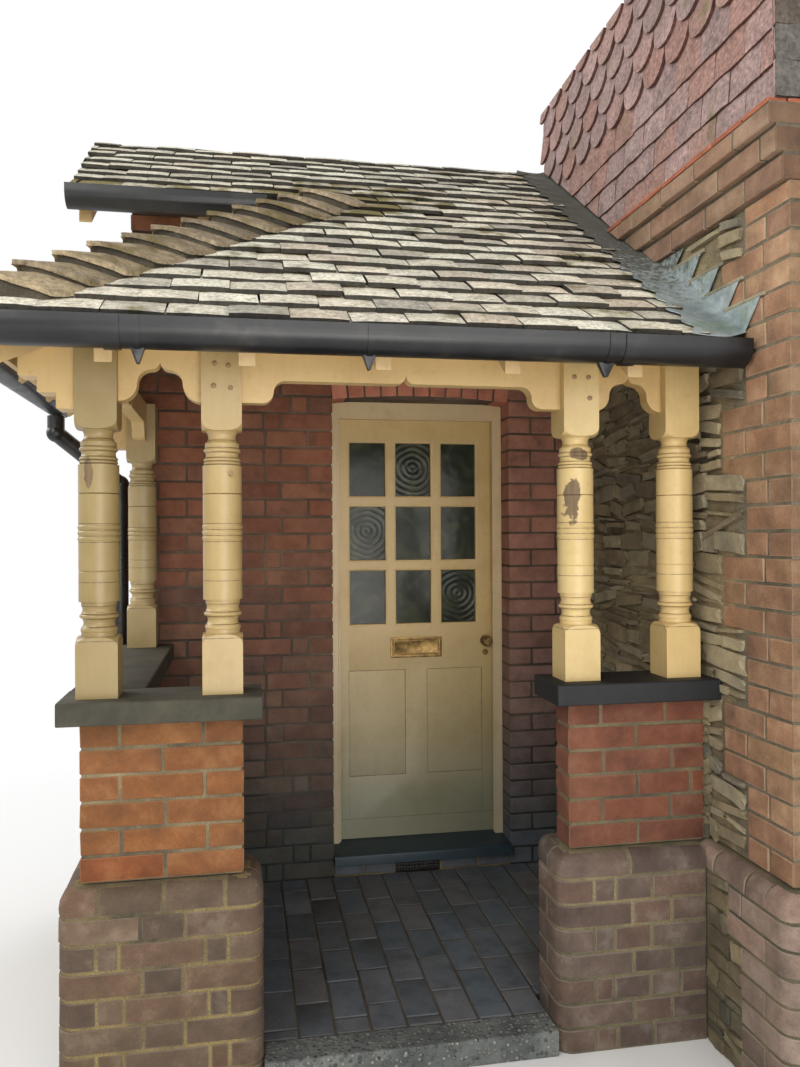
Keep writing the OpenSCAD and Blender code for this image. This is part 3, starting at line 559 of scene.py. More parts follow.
def set_stone(wall, at, size, heading, tilt):
    """A rough stone with its middle at a place."""
    turn = turned(z=math.radians(heading), y=tilt) @ Matrix.Diagonal((*size, 1))
    turn = turn @ turned(z=chance.choice((0, math.pi)))
    set_copy(wall, chance.choice(stones), at, turn, chance.random(), 0)


rubble_stone = fired_clay(
    "olive brown rubble stone",
    [(92, 82, 64), (128, 114, 86), (112, 99, 75), (142, 127, 97), (88, 84, 72), (150, 135, 104)],
    (176, 162, 126), 0.35, damp=0.2, bump=0.9,
)
rubble_mortar = lime_mortar("rubble bedding", (190, 172, 132), (74, 66, 52))
plaster = lime_mortar("old plaster", (214, 206, 190), (196, 186, 168))
wing_clay = fired_clay(
    "dusty plinth brick",
    [(129, 109, 98), (142, 119, 105), (154, 128, 112), (138, 117, 103), (158, 136, 122)],
    (164, 154, 140), damp=0.35,
)
bricks = []
for k in range(8):
    low, top, wide = k * course_high + joint / 2, k == 7, k % 2 == 0
    ret = brick_long if wide else brick_wide
    edge = ("tf",) if top else ()
    marks = [0, brick_wide, 0.28] if wide else [0, corner_pair - ret, 0.28]
    left = (ret, "fl", "tl") if top else (ret, "fl")
    lay_course(bricks, (0.935, -0.47, 0), low, marks, brick_wide, first=left, edge=edge)
    side = (0.935, house, -90)
    if top:
        lay_course(bricks, side, low, paced(0, wing_side - ret, 0.172), brick_wide, edge=edge)
    else:
        stop = wing_side - 0.3 if k in (5, 6) else wing_side - brick_long + 0.02 * (k % 2)
        lay_course(bricks, side, low, paced(0, 1.1, offset=header_long if wide else brick_long), brick_wide)
        lay_course(bricks, side, low, [stop - 0.03 * (k % 2), wing_side - ret], brick_wide)
finish_with(bricks, wing_clay)
bed(bricks, (0.939, -0.466, 0), (1.2035, house, plinth_high - 0.004), dull_mortar, ("fl", "tl", "tf"))
bed(bricks, (1.203, -0.37, 0), (party, back, plinth_high - 0.004), plaster)
low = 0.003
while low < 7 * course_high - 0.02:
    high = min(chance.choice((0.02, 0.028, 0.04, 0.055)), 7 * course_high - low)
    y = -0.172 if low > 5 * course_high - 0.02 else -0.246
    while y < -0.075:
        long = min(chance.uniform(0.035, 0.12), -0.058 - y)
        at = (0.9465 + chance.uniform(-0.003, 0.004), y + long / 2, low + high / 2)
        set_stone(bricks, at, (long, 0.026, high), -90, chance.gauss(0, 0.12))
        y += long + chance.uniform(0.005, 0.012)
    low += high + chance.uniform(0.005, 0.012)
finish_with(bricks, rubble_stone)
bed(bricks, (0.99, 1.28, 0), (1.2035, 1.498, plinth_high), plinth_mortar)
bed(bricks, (0.99, 1.4975, 0), (1.204, back, plinth_high), plaster)
assemble("wing_plinth_bricks", bricks, ["wing_plinth"], "plinth_brick")

# Dwarf walls: six courses of bright orange bricks, half a brick thick, on the plinths.
# The front piers are two bricks long, so the courses break joint by turns.
orange_clay = fired_clay(
    "orange brick",
    [(123, 77, 39), (132, 82, 41), (138, 87, 44), (129, 87, 48), (134, 75, 38)],
    (166, 130, 94), 0.3, rough=0.82, bump=0.35,
)
red_orange_clay = fired_clay(
    "red orange brick",
    [(101, 58, 40), (111, 63, 43), (120, 69, 46), (107, 65, 48), (124, 76, 51)],
    (140, 114, 93), 0.25, rough=0.82, bump=0.35,
)
buff_mortar = lime_mortar("buff and grey mortar", (172, 154, 116), (84, 76, 64))
left_marks = {
    5: [0, 0.109, 0.343, 0.457],
    4: [0, 0.229, 0.457],
    3: [0, 0.11, 0.346, 0.457],
    2: [0, 0.236, 0.457],
    1: [0, 0.113, 0.353, 0.457],
    0: [0, 0.234, 0.457],
}
right_marks = {
    5: [0, 0.107, 0.325, 0.457],
    4: [0, 0.226, 0.457],
    3: [0, 0.116, 0.347, 0.457],
    2: [0, 0.229, 0.41, 0.457],
    1: [0, 0.112, 0.341, 0.457],
    0: [0, 0.231, 0.457],
}
wall_top = plinth_high + 6 * course_high
half_brick = 0.114


def lay_pier(x, k, marks, tones=None):
    """One course of a front pier, from its left edge."""
    low = plinth_high + k * course_high + joint / 2
    ends = (half_brick,)
    lay_course(bricks, (x, 0, 0), low, marks, half_brick, first=ends, last=ends, tones=tones)


bricks = []
for k, marks in left_marks.items():
    lay_pier(-0.957, k, marks)
finish_with(bricks, orange_clay)
bed(bricks, (-0.953, 0.004, plinth_high), (-0.504, 0.11, wall_top), buff_mortar)
assemble("left_pier_bricks", bricks, ["left_front_wall"], "orange_brick")

bricks = []
for k in range(6):
    low = plinth_high + k * course_high + joint / 2
    marks = paced(0, 1.171, offset=header_long if k % 2 else brick_long)
    lay_course(bricks, (-0.957, house, -90), low, marks, half_brick)
finish_with(bricks, orange_clay)
bed(bricks, (-0.953, 0.11, plinth_high), (-0.847, house, wall_top), buff_mortar)
assemble("left_side_bricks", bricks, ["left_side_wall"], "orange_brick")

bricks = []
for k, marks in right_marks.items():
    tones = [0.9 if k in (1, 2, 3) and i == 0 else chance.random() * 0.7 for i in range(len(marks))]
    lay_pier(0.5, k, marks, tones)
finish_with(bricks, red_orange_clay)
bed(bricks, (0.504, 0.004, plinth_high), (0.953, 0.11, wall_top), dull_mortar)
assemble("right_pier_bricks", bricks, ["right_front_wall"], "orange_brick")

# Infill: slips of stone and lumps of mortar packed into the gap between the right
# pier and the wing. Each stone is a split slip, roughly squared, laid as it came.
parts = []
low = plinth_high
while low < plinth_high + 0.44:
    high = chance.uniform(0.016, 0.05)
    at = (0.9735 + chance.uniform(-0.002, 0.002), 0.045 + chance.uniform(0, 0.008), low + high / 2)
    set_stone(parts, at, (0.032, 0.07, high), 0, chance.uniform(-0.25, 0.25))
    low += high + 0.004
finish_with(parts, rubble_stone)
bed(parts, (0.957, 0.016, plinth_high), (0.99, 0.1, wall_top), rubble_mortar)
assemble("infill_stones", parts, ["mortar_infill"], "rubble_stone", smooth=0)


# Copings: sawn stone slabs with a small arris, bedded on the dwarf walls. The left
# pair is grey weathered stone, the right one has been painted near black.
def eased(name, node, slot, arris, material, body="porch"):
    """A piece shaped as in the frame, its sharp edges eased as wear and paint do."""
    piece = bpy.data.objects.new(name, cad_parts[node].data.copy())
    scene.collection.objects.link(piece)
    edit(piece, "SELECT")
    bpy.ops.mesh.remove_doubles(threshold=2e-5)
    bpy.ops.mesh.dissolve_limited(angle_limit=math.radians(2))
    leave()
    softener = piece.modifiers.new("eased", "BEVEL")
    softener.width, softener.segments, softener.use_clamp_overlap = arris, 2, True
    softener.limit_method, softener.angle_limit = "ANGLE", math.radians(32)
    bpy.ops.mesh.customdata_custom_splitnormals_clear()
    bpy.ops.object.modifier_apply(modifier="eased")
    piece.data.materials.clear()
    piece.data.materials.append(material)
    assemble(name, [piece], [node], slot, body, 20)


def worn_stone(name, colours, bump=0.5, rough=0.8):
    """Weathered stone: cloudy, with lichen grey and fine pitting."""
    m = Look(name)
    wear, spots = m.wear(7.0, 2.0), m.wear(30.0, 6.0)
    colour = m.ramp(wear["Cloud"], *((0.3 + 0.2 * i, c) for i, c in enumerate(colours)))
    colour = m.mottle(0.6, colour, spots["Cloud"], (0.35, 0.6), (0.5, 1.0), (0.68, 1.3))
    ground = m.add(wear["Grain"], 0.4, spots["Cloud"])
    return m.close(colour, m.add(spots["Cloud"], 0.3, rough - 0.15), bump, 0.003, ground)


grey_stone = worn_stone("weathered grey coping", [(49, 47, 38), (63, 60, 49), (79, 75, 60)])
black_stone = worn_stone("black painted coping", [(6, 8, 11), (8, 11, 15), (13, 18, 22)], 0.35, 0.62)
for node, slot, stone in (
    ("left_front_coping", "coping_stone", grey_stone),
    ("left_side_coping", "coping_stone", grey_stone),
    ("right_coping", "dark_coping", black_stone),
):
    eased(node + "_stone", node, slot, 0.004, stone)

# Porch floor: worn brick pavers laid flat in broken courses from wall to wall, with a
# strip of pebbly concrete along the front edge. Grit has settled in the joints.
# The pavers' blue grey is partly worn clay and partly painted reflection of the sky.
paver_clay_sky_tint = fired_clay(
    "worn floor brick with painted sky reflection",
    [(82, 88, 94), (96, 98, 103), (88, 97, 106), (104, 102, 104), (80, 90, 99)],
    (96, 94, 92), 0.4, rough=0.88, bump=0.6,
)
grit = lime_mortar("grit in the joints", (110, 100, 84), (52, 46, 40))
parts = []
rows, x = 0, -0.786
while x < 0.92:
    wide = min(0.112, 0.934 - x)
    marks = paced(0.058 if -0.46 < x < 0.4 else 0.17, 1.283, 0.228, (0.19, 0.085, 0.15, 0.05)[rows % 4])
    for a, b in zip(marks, marks[1:]):
        at = (x + wide / 2, (a + b) / 2, 0.0645 + chance.uniform(-0.0015, 0.0005))
        tilt = turned(x=chance.gauss(0, 0.004), y=chance.gauss(0, 0.003))
        paver = stocked(wide - 0.005, b - a - 0.005, 0.03, arris=0.004)
        set_copy(parts, paver, at, tilt, chance.random())
    x += wide
    rows += 1
finish_with(parts, paver_clay_sky_tint)
bed(parts, (-0.445, 0.055, 0), (0.445, 0.17, 0.076), grit)
bed(parts, (-0.788, pier_back, 0), (0.935, house, 0.076), grit)
assemble("porch_pavers", parts, ["porch_floor"], "floor_brick")

pebbles = worn_stone("pebbly concrete", [(64, 68, 68), (92, 96, 94), (120, 122, 118)], 0.9, 0.85)
m = Look(made=pebbles)
cells = m.put("TexVoronoi", {"Vector": m.where, "Scale": 70.0}).outputs
greys = ((0.0, (58, 60, 58)), (0.4, (98, 100, 96)), (0.7, (146, 144, 134)), (1.0, (78, 82, 82)))
stone_shade = m.ramp(m.put("SeparateColor", {0: cells["Color"]}), *greys)
inside = m.span(cells["Distance"], 0.28, 0.46, 1.0, 0.0)
cement = m.shader.inputs["Base Color"].links[0].from_socket
rough = m.shader.inputs["Roughness"].links[0].from_socket
m.close(m.mix(inside, cement, stone_shade), rough, 1.0, 0.004, inside)
eased("floor_edge_concrete", "floor_edge", "pebble_concrete", 0.006, pebbles)

# House wall: a brick thick, dark red bricks with grey buff joints outside and plain
# plaster inside. It is split round the doorway; the ends are cut plainly.
# The house wall's bricks and joints are painted darker towards the bottom, as painted shade.
red_clay = fired_clay(
    "dark red brick",
    [(125, 78, 57), (139, 85, 61), (150, 93, 66), (134, 89, 67), (158, 105, 75), (119, 79, 63)],
    (142, 112, 92), 0.25, 0.5, 0.84, 0.4, low_shade=1.0,
)
# Painted light: lighter bricks for the wall right of the door, which stands in shade.
right_wall_lit_clay = fired_clay(
    "red brick lightened as painted light",
    [(173, 119, 97), (189, 131, 107), (181, 125, 108)],
    (172, 134, 112), 0.25, 0.0, 0.84, 0.4, low_shade=1.0,
)
# Painted light: the arch bricks are made paler to stand for the light thrown up under the porch roof.
arch_lit_clay = fired_clay(
    "arch brick lightened as painted light",
    [(206, 130, 103), (224, 143, 113), (214, 137, 115)],
    (200, 156, 130), 0.25, 0.0, 0.84, 0.4,
)
grey_mortar = lime_mortar("grey buff mortar", (132, 112, 92), (74, 62, 54), low_shade=1.0)
eave, eave_high = -0.2, 2.192
pitch = math.radians(34.5)
inward_x, inward_y, upward = Vector((1, 0, 0)), Vector((0, 1, 0)), Vector((0, 0, 1))
roof_up = Vector((0, -math.sin(pitch), math.cos(pitch)))


def cut(piece, at, outward):
    """Cuts a piece at a plane, closes it there and drops what lies outward of it."""
    edit(piece, "SELECT")
    bpy.ops.mesh.bisect(plane_co=at, plane_no=outward, use_fill=True, clear_outer=True)
    leave()
    piece.data.validate()


def mixed_marks(start, end, k):
    """Joints of a wall in which stretchers and headers come in no strict order."""
    marks = [start]
    at = start + (brick_long if k % 2 else header_long)
    while at < end - 0.06:
        marks.append(at)
        at += brick_long if chance.random() < 0.72 else 0.113
    return marks + [end]


def house_bricks(x0, x1, low_course, left_end, right_end):
    """Face bricks of the house wall between two places, turned in at the open ends."""
    made = []
    for k in range(low_course, 43):
        low, wide = k * course_high + joint / 2, k % 2 == 0
        end, turn_in = (brick_long, brick_wide) if wide else (brick_wide, brick_long)
        rest = corner_pair - end
        marks = mixed_marks(x0 + (end if left_end else 0), x1 - (rest if right_end else 0), k)
        if left_end:
            set_brick(made, (x0, house, 0), 0, end - joint / 2, low, min(turn_in, wall_deep))
            if wide:
                set_brick(made, (x0, back - 0.014, -90), 0, 0.096, low, 0.1)
        if right_end:
            deep = min(corner_pair - turn_in, wall_deep)
            set_brick(made, (x1, house, 0), -rest + joint / 2, 0, low, deep)
            if not wide:
                set_brick(made, (x1, house, 90), brick_wide + joint, wall_deep, low, 0.1)
        lay_course(made, (0, house, 0), low, marks, 0.1)
    return made


for name, x0, x1, course, left, right, clay in (
    ("house_wall_left", -0.957, -0.102, 0, 1, 1, red_clay),
    ("house_wall_right", 0.713, 0.99, 0, 1, 0, right_wall_lit_clay),
    ("house_wall_over_door", -0.102, 0.713, 32, 0, 0, red_clay),
):
    parts = house_bricks(x0, x1, course, left, right)
    finish_with(parts, clay)
    low = course * course_high - (0.008 if course else 0)
    corner = (x1 - 0.004 * right, back - 0.012, 3.3)
    bed(parts, (x0 + 0.004 * left, house + 0.004, low), corner, grey_mortar)
    bed(parts, (x0, back - 0.013, low), (x1, back, 3.3), plaster)
    wall = joined(parts)
    cut(wall, (0, eave, eave_high - 0.057), roof_up)
    assemble(name + "_bricks", [wall], [name], "red_brick")

# Door arch: bricks on end over the opening, a header and a half high, set to a slight
# camber and tapered by rubbing, with thin joints.
parts = []
middle_x, half_wide, rise, radius, count = 0.3055, 0.4075, 0.022, 3.785, 11
pivot = 2.197 + rise - radius
wide = 2 * radius * math.sin(half_wide / radius / count)
for i in range(count):
    angle = ((i + 0.5) / count - 0.5) * 2 * math.asin(half_wide / radius)
    for a, b in ((0.0, 0.108), (0.117, 0.225)) if i % 2 else ((0.0, 0.225),):
        out = radius + (a + b) / 2
        at = (middle_x + math.sin(angle) * out, house + 0.11, pivot + math.cos(angle) * out)
        set_copy(parts, stocked(wide - 0.006, 0.22, b - a - 0.002), at, turned(y=angle), chance.random())
finish_with(parts, arch_lit_clay)
bed(parts, (-0.102, house + 0.004, 2.205), (0.713, back - 0.012, 2.43), grey_mortar)
bed(parts, (-0.102, back - 0.013, 2.2), (0.713, back, 2.43), plaster)
assemble("door_arch_bricks", parts, ["door_arch"], "red_brick")

# Step under the door: a row of bricks patched with mortar, an iron air brick with a
# grid of slots let into it, and a painted hardwood sill over both.
patched = lime_mortar("patched mortar", (176, 156, 112), (58, 54, 48))
parts = []
for a, b in ((0.0, 0.135), (0.135, 0.275), (0.484, 0.66), (0.66, 0.815)):
    set_brick(parts, (-0.102, house, 0), a + 0.004, b - 0.004, 0.082, 0.1, 0.044)
finish_with(parts, paver_clay_sky_tint)
bed(parts, (-0.102, house + 0.004, 0), (0.174, back - 0.012, 0.131), patched)
bed(parts, (0.38, house + 0.004, 0), (0.713, back - 0.012, 0.131), patched)
bed(parts, (0.17, house + 0.045, 0), (0.384, back - 0.012, 0.131), grit)
bed(parts, (-0.102, back - 0.0125, 0), (0.713, back, 0.131), plaster)
assemble("sill_riser_bricks", parts, ["sill_riser"], "red_brick")

rusty_iron = worn_stone("old painted iron", [(26, 27, 28), (40, 40, 40), (64, 52, 42)], 0.6, 0.6)
bpy.ops.mesh.primitive_grid_add(
    x_subdivisions=15, y_subdivisions=3, size=1,
    location=(0.277, 1.289, 0.1055), rotation=(math.pi / 2, 0, 0),
)
grille = bpy.context.object
grille.scale = (0.198, 0.043, 1)
settle()
edit(grille, "SELECT")
bpy.ops.mesh.inset(thickness=0.0026, use_individual=True)
bpy.ops.mesh.extrude_faces_move(TRANSFORM_OT_shrink_fatten={"value": -0.014})
leave()
grille.data.materials.append(rusty_iron)
assemble("air_brick_grille", [grille], ["air_brick"], "air_brick_iron", smooth=0)


def paint(name, colour, under, rough=0.38, wear=0.5, spots=(), shade_lines=(), shade_below=0.0):
    """Old gloss paint: smooth, yellowed in clouds, dirty in places, chipped to what is
    under it. Spots are bare patches (x, y, z, half width, half height). The dark lines
    (middle x, middle z, half width, half height) are painted shade in joints and creases,
    broken up like cracked paint. The last argument darkens the paint towards the bottom as painted shade."""
    m = Look(name)
    colour, under = seen_as(colour), seen_as(under)
    wide, fine = m.wear(3.2, 1.0)["Cloud"], m.wear(38.0, 4.0)["Cloud"]
    chip = m.wear(17.0, 8.0)["Cloud"]
    brushed = m.put("Mapping", {"Vector": m.where, "Scale": (90.0, 90.0, 7.0)})
    streak = m.put("TexNoise", {"Vector": brushed, "Scale": 1.0, "Detail": 3.0})
    yellowed, faded = scaled(colour, (0.86, 0.82, 0.74)), scaled(colour, (1.05, 1.06, 1.1))
    shade = m.ramp(wide, (0.32, yellowed), (0.5, colour), (0.68, faded))
    shade = m.mottle(0.12, shade, streak, (0.3, 0.8), (0.5, 1.0), (0.7, 1.12))
    grime = m.times(m.ramp(fine, (0.56, 0.0), (0.74, 1.0)), wear * 0.45)
    shade = m.mix(grime, shade, scaled(colour, (0.5, 0.42, 0.3)))
    bare = m.ramp(chip, (0.72, 0.0), (0.73, 1.0))
    for x, y, z, half, tall in spots:
        away = m.put("VectorMath", {0: m.where, 1: (-x, -y, -z)}, operation="ADD")
        away = m.put("VectorMath", {0: away, 1: (1 / half, 1 / 0.07, 1 / tall)}, operation="MULTIPLY")
        away = m.put("VectorMath", {0: away}, operation="LENGTH").outputs["Value"]
        ragged = m.times(m.add(chip, 2.6, away), 0.4)
        bare = m.sums("MAXIMUM", bare, m.ramp(ragged, (0.86, 1.0), (0.9, 0.0)))
    rim = m.ramp(bare, (0.0, 0.0), (0.4, 1.0), (0.9, 0.0))
    shade = m.mix(bare, shade, m.ramp(streak, (0.3, scaled(under, 0.55)), (0.7, under)))
    shade = m.mix(m.times(rim, 0.6), shade, scaled(colour, 0.3))
    # Painted shade: the paint is darker towards the bottom.
    if shade_below:
        shade = m.low_shade(shade_below, shade, (0.3, 0.45, 0.76), 0.35, 1.25)
    ground = m.add(bare, -0.9, m.add(streak, 0.12, m.times(fine, 0.35)))
    # Dark lines of painted shade, which also sink the relief a little.
    groove = None
    for x, z, half, tall in shade_lines:
        line = m.sums("COMPARE", m.axis("Z"), z, tall)
        if half < 0.9:
            line = m.times(line, m.sums("COMPARE", m.axis("X"), x, half))
        groove = m.sums("MAXIMUM", groove, line) if groove else line
    if groove:
        groove = m.times(groove, m.ramp(fine, (0.36, 0.35), (0.5, 0.85)))
        shade = m.mix(groove, shade, scaled(colour, (0.16, 0.12, 0.1)))
        ground = m.add(groove, -1.5, ground)
    shine = m.add(bare, 0.45, m.add(fine, 0.25, rough - 0.12))
    return m.close(shade, shine, 0.3, 0.0016, ground)


dark_paint = paint("dark sill paint", (40, 56, 64), (60, 58, 52), 0.5)
eased("door_sill_board", "door_sill", "dark_paint", 0.003, dark_paint)

# Door frame: rebated softwood jambs and head under the arch, cream gloss paint, with a
# small bead planted on its inner edge. The hinges' fixed leaves are screwed to it.
wood = (134, 112, 84)
# Painted shade: the frame's paint is darker towards the bottom.
door_cream = paint("cream door paint", (228, 202, 154), wood, 0.4, 0.55, shade_below=0.5)
parts = []
for x0, x1, z0, z1 in (
    (-0.0655, -0.0565, 0.19, 2.13), (0.6665, 0.6755, 0.19, 2.13), (-0.0655, 0.6755, 2.1285, 2.1375),
):
    bed(parts, (x0, 1.4015, z0), (x1, 1.4045, z1), door_cream, arris=0.0012)
eased("door_frame_timber", "door_frame", "cream_paint", 0.002, door_cream)
assemble("door_frame_beads", parts, [], "cream_paint")


def dress(nodes, material):
    """Gives a material to pieces that keep the shape they have in the frame."""
    for node in nodes:
        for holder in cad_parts[node].material_slots:
            holder.material = material


m = Look("dull old brass")
wear = m.wear(40.0, 2.0)
colour = m.ramp(wear["Cloud"], (0.35, (86, 68, 44)), (0.52, (148, 119, 72)), (0.7, (186, 156, 100)))
shine = m.add(wear["Cloud"], 0.5, 0.16)
old_brass = m.close(colour, shine, 0.15, 0.001, wear["Grain"], Metallic=0.8)
dress(("frame_hinges", "leaf_hinges", "door_knobs"), old_brass)

# Door leaf: framed softwood, two sunk panels below, a lock rail with the letter plate
# and nine panes above, set in moulded bars. Cream gloss paint, cracked at the joints,
# with dark lines of painted shade along them and painted shade towards the bottom.
leaf_x, leaf_z, leaf_y = -0.072, 0.186, 1.445
# Painted shade: dark lines along the joints round the panels, at the weatherboard and down the stiles.
panel_shade_lines = [(0.3055, leaf_z + 0.091, 0.378, 0.0011)]
panel_shade_lines += [(x, 0.376, 0.0007, 0.098) for x in (-0.0125, 0.6235)]
for x in (0.12025, 0.49075):
    panel_shade_lines += [(x, z, 0.1325, 0.0012) for z in (0.4745, 0.9625)]
    panel_shade_lines += [(x + side, 0.7185, 0.0011, 0.244) for side in (-0.1327, 0.1327)]
# Painted shade: the leaf's paint is darker towards the bottom.
leaf_cream = paint("cream leaf paint", (220, 189, 128), wood, wear=0.55, shade_lines=panel_shade_lines, shade_below=0.92)
eased("door_leaf_timber", "door_leaf", "cream_paint", 0.0015, leaf_cream, "door")


def thicken(deep):
    """Gives the open piece a thickness, downward, and turns all its faces out."""
    bpy.ops.mesh.select_all(action="SELECT")
    bpy.ops.mesh.extrude_region_move(TRANSFORM_OT_translate={"value": (0, 0, -deep)})
    bpy.ops.mesh.normals_make_consistent(inside=False)


def bead_frame(wide, high, across, deep, curve):
    """A mitred bead round an opening, its inner front edge moulded, lying flat at zero."""
    bpy.ops.mesh.primitive_plane_add(size=1)
    made = bpy.context.object
    made.scale = (wide, high, 1)
    settle()
    edit(made, "SELECT")
    bpy.ops.mesh.inset(thickness=across)
    bpy.ops.mesh.delete(type="FACE")
    thicken(-deep)
    inner = (wide / 2 - across, high / 2 - across)

    def is_inner_front(at, part):
        x, y = abs(at.x), abs(at.y)
        upright, level = abs(x - inner[0]) < 1e-4 and y < 1e-4, abs(y - inner[1]) < 1e-4 and x < 1e-4
        return abs(at.z - deep) < 1e-5 and (upright or level)

    bpy.ops.mesh.select_all(action="DESELECT")
    pick("EDGE", is_inner_front)
    bpy.ops.mesh.bevel(offset=curve, segments=4, affect="EDGES")
    return pattern(made)


left_stile, right_stile, glass_low, glass_high, bar = 0.06, 0.078, 0.985, 1.845, 0.035
pane_wide = (0.755 - left_stile - right_stile - 2 * bar) / 3
pane_high = (glass_high - glass_low - 2 * bar) / 3
pane_bead = bead_frame(pane_wide, pane_high, 0.008, 0.017, 0.0065)
parts, panes = [], []
for i in range(3):
    for j in range(3):
        x = leaf_x + left_stile + i * (pane_wide + bar) + pane_wide / 2
        at = Vector((x, 0, leaf_z + glass_low + j * (pane_high + bar) + pane_high / 2))
        panes.append((i, j, at))
        for y, angle in ((0.0195, math.pi / 2), (0.0245, -math.pi / 2)):
            set_copy(parts, pane_bead, at + Vector((0, leaf_y + y, 0)), turned(x=angle), 0.5, 0)
finish_with(parts, leaf_cream)
assemble("door_leaf_beads", parts, [], "cream_paint", "door")


def window_glass(name, centre=None, clear=0.0):
    """Old window glass, slightly uneven and coloured dark as painted shade of the unlit hall behind it; a
    bullseye pane has rings about its centre.
    """
    m = Look(name)
    hall_shade_cloud = m.put("TexNoise", {"Vector": m.where, "Scale": 9.0, "Detail": 5.0, "Distortion": 0.8})
    # Painted shade: the dark glass stands for the unlit hall behind the door, which is not built.
    colour = m.ramp(hall_shade_cloud, (0.3, (40, 45, 36)), (0.5, (54, 58, 47)), (0.66, (76, 80, 60)))
    wave = m.put("TexNoise", {"Vector": m.where, "Scale": 14.0, "Detail": 1.0})
    if centre is not None:
        away = m.put("VectorMath", {0: m.where, 1: tuple(-c for c in centre)}, operation="ADD")
        feeds = {"Vector": away, "Scale": 12.0, "Distortion": 3.0, "Detail": 1.0, "Detail Scale": 0.8}
        rings = m.put("TexWave", feeds, wave_type="RINGS", rings_direction="Y").outputs[1]
        wave = m.add(rings, 0.8, wave)
        ring = m.ramp(rings, (0.55, 0.0), (0.9, 0.55 - clear))
        ring = m.times(ring, m.ramp(hall_shade_cloud, (0.36, 0.0), (0.62, 1.0)))
        colour = m.mix(ring, colour, (122, 122, 98))
    sheen = {"Specular IOR Level": 0.2, "Transmission Weight": 0.1, "IOR": 1.5}
    return m.close(colour, 0.16, 0.35, 0.003, wave, **sheen)


clear_glass = window_glass("old window glass")
parts = []
for i, j, at in panes:
    at.y = leaf_y + 0.022
    glass, centre = clear_glass, at + Vector((0, 0, 0.01))
    if (i, j) in ((1, 2), (0, 1), (2, 0)):
        glass = window_glass(f"bullseye glass {i}{j}", centre, 0.35 if i == 2 else 0.0)
    set_block(parts, at, (pane_wide - 0.001, 0.004, pane_high - 0.001), glass, arris=0.0006)
assemble("door_panes", parts, ["door_glass"], "pane_glass", "door", smooth=0)

# Letter plate: cast brass with a flap behind a raised border and two round screw heads,
# on the lock rail.
plate_x, plate_z = 0.3055, leaf_z + 0.8805
at = (plate_x, leaf_y - 0.0025, plate_z)
bpy.ops.mesh.primitive_cube_add(size=1, location=at, scale=(0.245, 0.005, 0.095))
plate = bpy.context.object
edit(plate)
pick("FACE", lambda at, part: part.normal.y < -0.9)
for border, step in ((0.013, 0.0022), (0.002, -0.0026), (0.005, 0.0008)):
    bpy.ops.mesh.inset(thickness=border)
    bpy.ops.mesh.extrude_region_move(TRANSFORM_OT_translate={"value": (0, step, 0)})
ease(40, 0.0007, 2)
leave()
parts = [plate]
for x in (0.1925, 0.4185):
    bpy.ops.mesh.primitive_uv_sphere_add(
        segments=16, ring_count=8, radius=0.0045, location=(x, leaf_y - 0.005, plate_z)
    )
    parts.append(bpy.context.object)
    parts[-1].scale.y = 0.3
finish_with(parts, old_brass)
assemble("letter_plate_brass", parts, ["letter_plate"], "old_brass", "door")

# Posts: softwood turned from square stock, their square blocks left at foot and head,
# painted cream many times. Knots of wood show where the paint has come away.
turnings = (163, 202, 225, 239, 262, 330, 444.5, 462.5, 479.5, 497.5, 585, 669, 680, 690.5, 706, 720, 742)
# Painted shade: dark lines in the creases of the turnings.
turning_shade_lines = [(0, 1.1328 + z / 1000, 1, 0.001) for z in turnings]
knots = ((0.52, 0.0, 1.705, 0.024, 0.075), (0.55, 0.0, 1.845, 0.032, 0.02), (-0.93, 0.0, 1.78, 0.014, 0.05))
# Each post has its own cream as painted light and shade: the corner post darkest, the back and left inner
# posts darker, the right inner and wall posts lightest.
for node, colour in (
    ("corner_post", (156, 136, 91)),
    ("left_inner_post", (182, 157, 107)),
    ("right_inner_post", (209, 183, 127)),
    ("wall_post", (208, 180, 124)),
    ("back_post", (178, 156, 110)),
):
    dress([node], paint(f"cream paint with painted shade of {node}", colour, wood, 0.34, spots=knots, shade_lines=turning_shade_lines))
bpy.ops.mesh.primitive_cylinder_add(vertices=14, radius=0.0075, depth=0.006, rotation=(math.pi / 2, 0, 0))
peg = bpy.context.object
settle(rotation=True)
edit(peg)
pick("FACE", lambda at, part: part.normal.y < -0.9)
bpy.ops.mesh.inset(thickness=0.003)
bpy.ops.transform.translate(value=(0, -0.0012, 0))
pattern(peg)
parts = []
for x, z in (
    (-0.577, 2.095), (-0.538, 2.09), (-0.58, 2.03), (-0.532, 2.025),
    (0.524, 2.085), (0.571, 2.085), (0.575, 2.02), (-0.532, 1.775),
):
    set_copy(parts, peg, (x, -0.0015 if z > 1.9 else 0.0005, z), turned(), 0.5, 0.0004)
finish_with(parts, paint("stained peg heads", (150, 118, 80), wood, 0.5, 0.9))
assemble("post_pegs", parts, [], "cream_timber")

